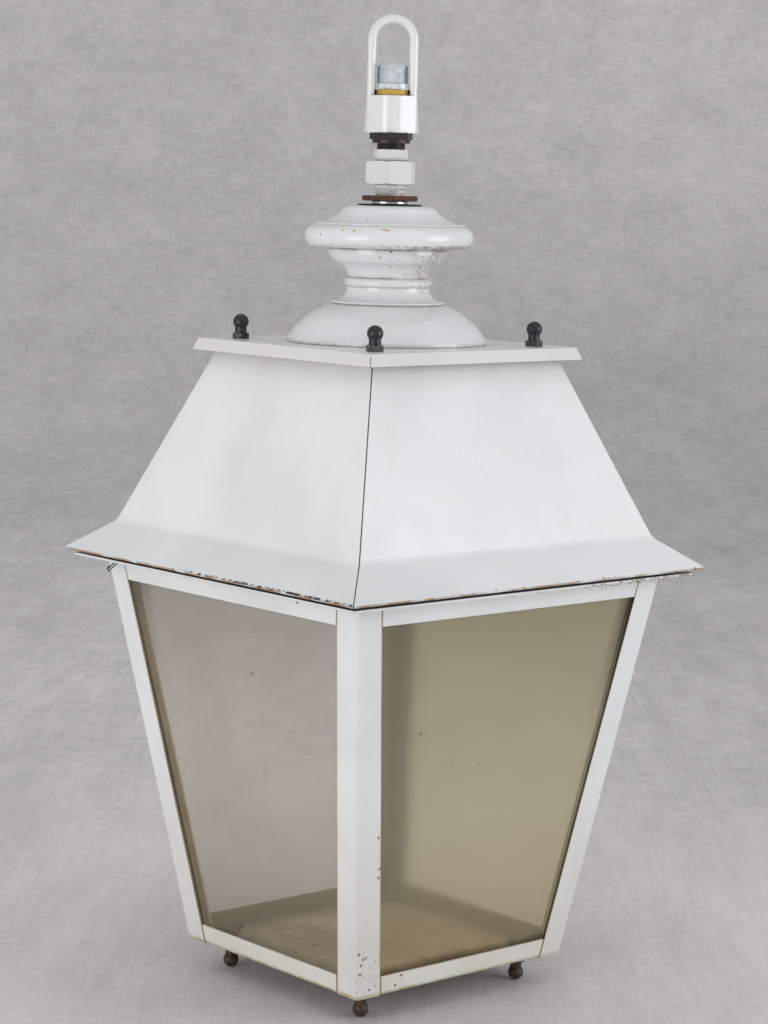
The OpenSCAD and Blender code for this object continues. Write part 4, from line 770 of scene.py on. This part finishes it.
def dress():
    """Gives every solid the finish of its slot, and the roof and the strips a finish of their own."""
    roof = roof_paint()
    by_slot = {
        "white_sheet_paint": sheet_paint("white_sheet_paint"),
        "cream_sheet_paint": sheet_paint("cream_sheet_paint", CREAM_PAINT, wear=0.8, grime=0.8, specks=0.6),
        "white_cast_paint": cap_paint(),
        "white_pipe_paint": pipe_paint(),
        "white_gloss_paint": gloss_paint(),
        "galvanised_sheet": zinc_metal("galvanised_sheet", ZINC, rough=0.5),
        "zinc_steel": zinc_metal("zinc_steel", ZINC_DARK, rough=0.45),
        "zinc_alloy": zinc_metal("zinc_alloy", ALLOY, rough=0.40, metallic=0.35),
        "clear_pane": clear_pane(),
        "yellowed_pane": yellow_pane(),
        "dusty_pane": dusty_pane(),
        "dark_wire": rusty_metal("dark_wire", dark=(0.03, 0.028, 0.026), light=RUST_DARK, metallic=0.6),
        "rusty_plate": rusty_metal("rusty_plate", dark=RUST_DARK, light=(0.12, 0.07, 0.04)),
        "rusty_iron": rusty_metal("rusty_iron", dark=(0.05, 0.032, 0.022), light=(0.11, 0.06, 0.035)),
        "rusted_steel": rusty_metal("rusted_steel", dark=(0.07, 0.03, 0.014), light=RUST),
        "black_iron": rusty_metal("black_iron", dark=IRON_BLACK, light=(0.045, 0.042, 0.04), rough=0.5,
                                  share=0.3),
        "brown_iron": rusty_metal("brown_iron", dark=(0.028, 0.018, 0.015), light=(0.05, 0.028, 0.02),
                                  rough=0.55),
        "bright_ring": bright_metal(),
        "black_rubber": rubber(),
        "brass": brass_metal(),
        "porcelain": glazed_body(),
    }
    slots = {part["node"]: part["material_slot"] for part in frame["record"]["subparts"]}
    own = {"roof_panel_" + side: roof for side in SIDES}
    own["glazing_strips"] = strip_paint()
    for name, node in NODES.items():
        material = own.get(name) or by_slot[slots[name]]
        node.data.materials.clear()
        node.data.materials.append(material)


def round_point(reach, angle, height):
    """Point at a distance, an angle and a height round the stem."""
    return Vector((reach * math.cos(angle), reach * math.sin(angle), height))


def join_rings(mesh, first, second):
    """Faces between two closed rings with the same number of points."""
    count = len(first)
    for k in range(count):
        following = (k + 1) % count
        mesh.faces.new((first[k], second[k], second[following], first[following]))


def add_object(name, mesh, material, smooth=False):
    """Turns a mesh under work into an object of the scene."""
    data = bpy.data.meshes.new(name)
    mesh.to_mesh(data)
    mesh.free()
    data.materials.append(material)
    for face in data.polygons:
        face.use_smooth = smooth
    added = bpy.data.objects.new(name, data)
    bpy.context.scene.collection.objects.link(added)
    return added


def add_piece(name, mesh, material, body, smooth=False):
    """Adds a piece that rides on a body and takes its finish from a slot of the record."""
    bmesh.ops.recalc_face_normals(mesh, faces=mesh.faces)
    piece = add_object(name, mesh, material, smooth)
    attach(piece, body)


def make_thread(name, radius, low, high, pitch, depth, material):
    """A helical ridge of triangular section round the stem, with closed ends."""
    turns = (high - low - pitch) / pitch
    mesh = bmesh.new()
    sections = []
    for i in range(int(turns * THREAD_STEPS) + 1):
        angle = 2 * math.pi * i / THREAD_STEPS
        middle = low + pitch / 2 + pitch * i / THREAD_STEPS
        section = []
        for out, rise in ((-THREAD_ROOT, -THREAD_FLANK), (1.0, 0.0), (-THREAD_ROOT, THREAD_FLANK)):
            section.append(mesh.verts.new(round_point(radius + out * depth, angle, middle + rise * pitch)))
        sections.append(section)
    for first, second in zip(sections, sections[1:]):
        join_rings(mesh, first, second)
    mesh.faces.new(sections[0])
    mesh.faces.new(reversed(sections[-1]))
    add_piece(name, mesh, material, "roof")


def make_ledge(material):
    """The fine raised line where the cap's shoulder meets its roll."""
    mesh = bmesh.new()
    rings = []
    for i in range(LEDGE_TURNS):
        angle = 2 * math.pi * i / LEDGE_TURNS
        ring = []
        for k in range(LEDGE_SIDES):
            around = 2 * math.pi * k / LEDGE_SIDES
            reach = LEDGE_RADIUS + LEDGE_THICKNESS * math.cos(around)
            height = CAP_FOOT + LEDGE_HEIGHT + LEDGE_THICKNESS * math.sin(around)
            ring.append(mesh.verts.new(round_point(reach, angle, height)))
        rings.append(ring)
    for first, second in zip(rings, rings[1:] + rings[:1]):
        join_rings(mesh, first, second)
    add_piece("cap_ledge", mesh, material, "roof", smooth=True)


def make_flakes(material):
    """Loose flakes of rust and paint on the floor pane, each a thin ragged chip."""
    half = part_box("bottom_pane")[1].x - FLAKE_MARGIN
    mesh = bmesh.new()
    for i in range(FLAKES):
        spread = noise.random_vector()
        at = Vector((spread.x * half, spread.y * half, FLOOR_PANE_TOP))
        size = FLAKE_LEAST + FLAKE_SPREAD * abs(noise.random())
        corners = 5 + i % 3
        rim = []
        for k in range(corners):
            angle = 2 * math.pi * (k + FLAKE_TURN * noise.random()) / corners
            reach = size * (FLAKE_CORE + FLAKE_RAGGED * abs(noise.random()))
            rim.append(at + round_point(reach, angle, 0))
        low = [mesh.verts.new(point) for point in rim]
        high = [mesh.verts.new(point + FLAKE_THICKNESS * UP) for point in rim]
        peak = mesh.verts.new(at + (FLAKE_THICKNESS + FLAKE_PEAK * size) * UP)
        mesh.faces.new(reversed(low))
        for k in range(corners):
            following = (k + 1) % corners
            mesh.faces.new((low[k], low[following], high[following], high[k]))
            mesh.faces.new((high[k], high[following], peak))
    add_piece("floor_flakes", mesh, material, "cage")


def make_details():
    """Threads that show on the stem and the bush, the line round the cap, and the flakes in the cage."""
    stem_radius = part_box("stem_pipe")[1].x
    stem_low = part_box("lock_nut")[1].z
    stem_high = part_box("stem_pipe")[1].z
    neck_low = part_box("union_body")[1].z
    make_thread("stem_thread", stem_radius, stem_low, stem_high, STEM_PITCH, STEM_DEPTH,
                NODES["stem_pipe"].data.materials[0])
    make_thread("bush_thread", BUSH_NECK_RADIUS, neck_low, neck_low + BUSH_NECK_HEIGHT, BUSH_PITCH,
                BUSH_DEPTH, NODES["bush"].data.materials[0])
    make_ledge(NODES["cap"].data.materials[0])
    noise.seed_set(FLAKE_SEED)
    make_flakes(NODES["corner_plates"].data.materials[0])


def make_stage():
    """A round floor that curves up into a wall, far enough off for a camera on any side."""
    outline = [(radius, 0.0) for radius in FLOOR_RINGS]
    for step in range(1, CURVE_STEPS + 1):
        angle = math.pi / 2 * step / CURVE_STEPS
        outline.append((WALL_AT - WALL_CURVE + WALL_CURVE * math.sin(angle),
                        WALL_CURVE - WALL_CURVE * math.cos(angle)))
    outline.append((WALL_AT, WALL_HEIGHT))
    mesh = bmesh.new()
    rings = []
    for radius, height in outline:
        count = STAGE_TURNS if radius else 1
        angles = [2 * math.pi * i / STAGE_TURNS for i in range(count)]
        rings.append([mesh.verts.new(round_point(radius, angle, height)) for angle in angles])
    for inner, outer in zip(rings, rings[1:]):
        for i in range(STAGE_TURNS):
            following = (i + 1) % STAGE_TURNS
            corners = [inner[i % len(inner)], outer[i], outer[following], inner[following % len(inner)]]
            mesh.faces.new(list(dict.fromkeys(corners)))
    stage = add_object("stage", mesh, canvas_stage(), smooth=True)


def make_light(name, toward, across, rise, size, power, colour=(1, 1, 1)):
    """A soft lamp that aims at the lantern, placed toward the camera, to its right and up."""
    place = LAMP_TARGET - toward * CAMERA_HEADING + across * ACROSS_VIEW + rise * UP
    data = bpy.data.lights.new(name, "AREA")
    data.shape = "RECTANGLE"
    data.size, data.size_y = size
    data.energy = power
    data.color = colour
    light = bpy.data.objects.new(name, data)
    light.location = place
    light.rotation_mode = "QUATERNION"
    light.rotation_quaternion = (LAMP_TARGET - place).to_track_quat("-Z", "Y")
    light.visible_camera = False
    bpy.context.scene.collection.objects.link(light)


def make_lights():
    """Two large soft lamps, left and right of the camera, and an even sky."""
    make_light("lamp_left", toward=1.5, across=-1.4, rise=-0.05, size=(1.1, 1.3), power=15.9)
    make_light("lamp_right", toward=0.7, across=2.1, rise=0.35, size=(1.2, 1.3), power=18.6,
               colour=(0.955, 0.985, 1.0))
    world = bpy.data.worlds.new("sky")
    world.use_nodes = True
    sky = world.node_tree.nodes["Background"]
    sky.inputs["Color"].default_value = (SKY_LEVEL, SKY_LEVEL, SKY_LEVEL, 1)
    bpy.context.scene.world = world


def make_camera():
    """The camera at the photograph's angle."""
    ahead = CAMERA_HEADING * math.cos(CAMERA_DIP) - UP * math.sin(CAMERA_DIP)
    level = ahead.cross(UP).normalized()
    right = level * math.cos(CAMERA_ROLL) + level.cross(ahead) * math.sin(CAMERA_ROLL)
    up = right.cross(ahead)
    data = bpy.data.cameras.new("camera")
    data.lens = CAMERA_LENS
    camera = bpy.data.objects.new("camera", data)
    turn = Matrix((right, up, -ahead)).transposed().to_4x4()
    camera.matrix_world = Matrix.Translation(CAMERA_AT) @ turn
    bpy.context.scene.collection.objects.link(camera)
    bpy.context.scene.camera = camera


bpy.context.scene.view_settings.view_transform = "Standard"
make_camera()
make_stage()
make_lights()
dress()
make_details()
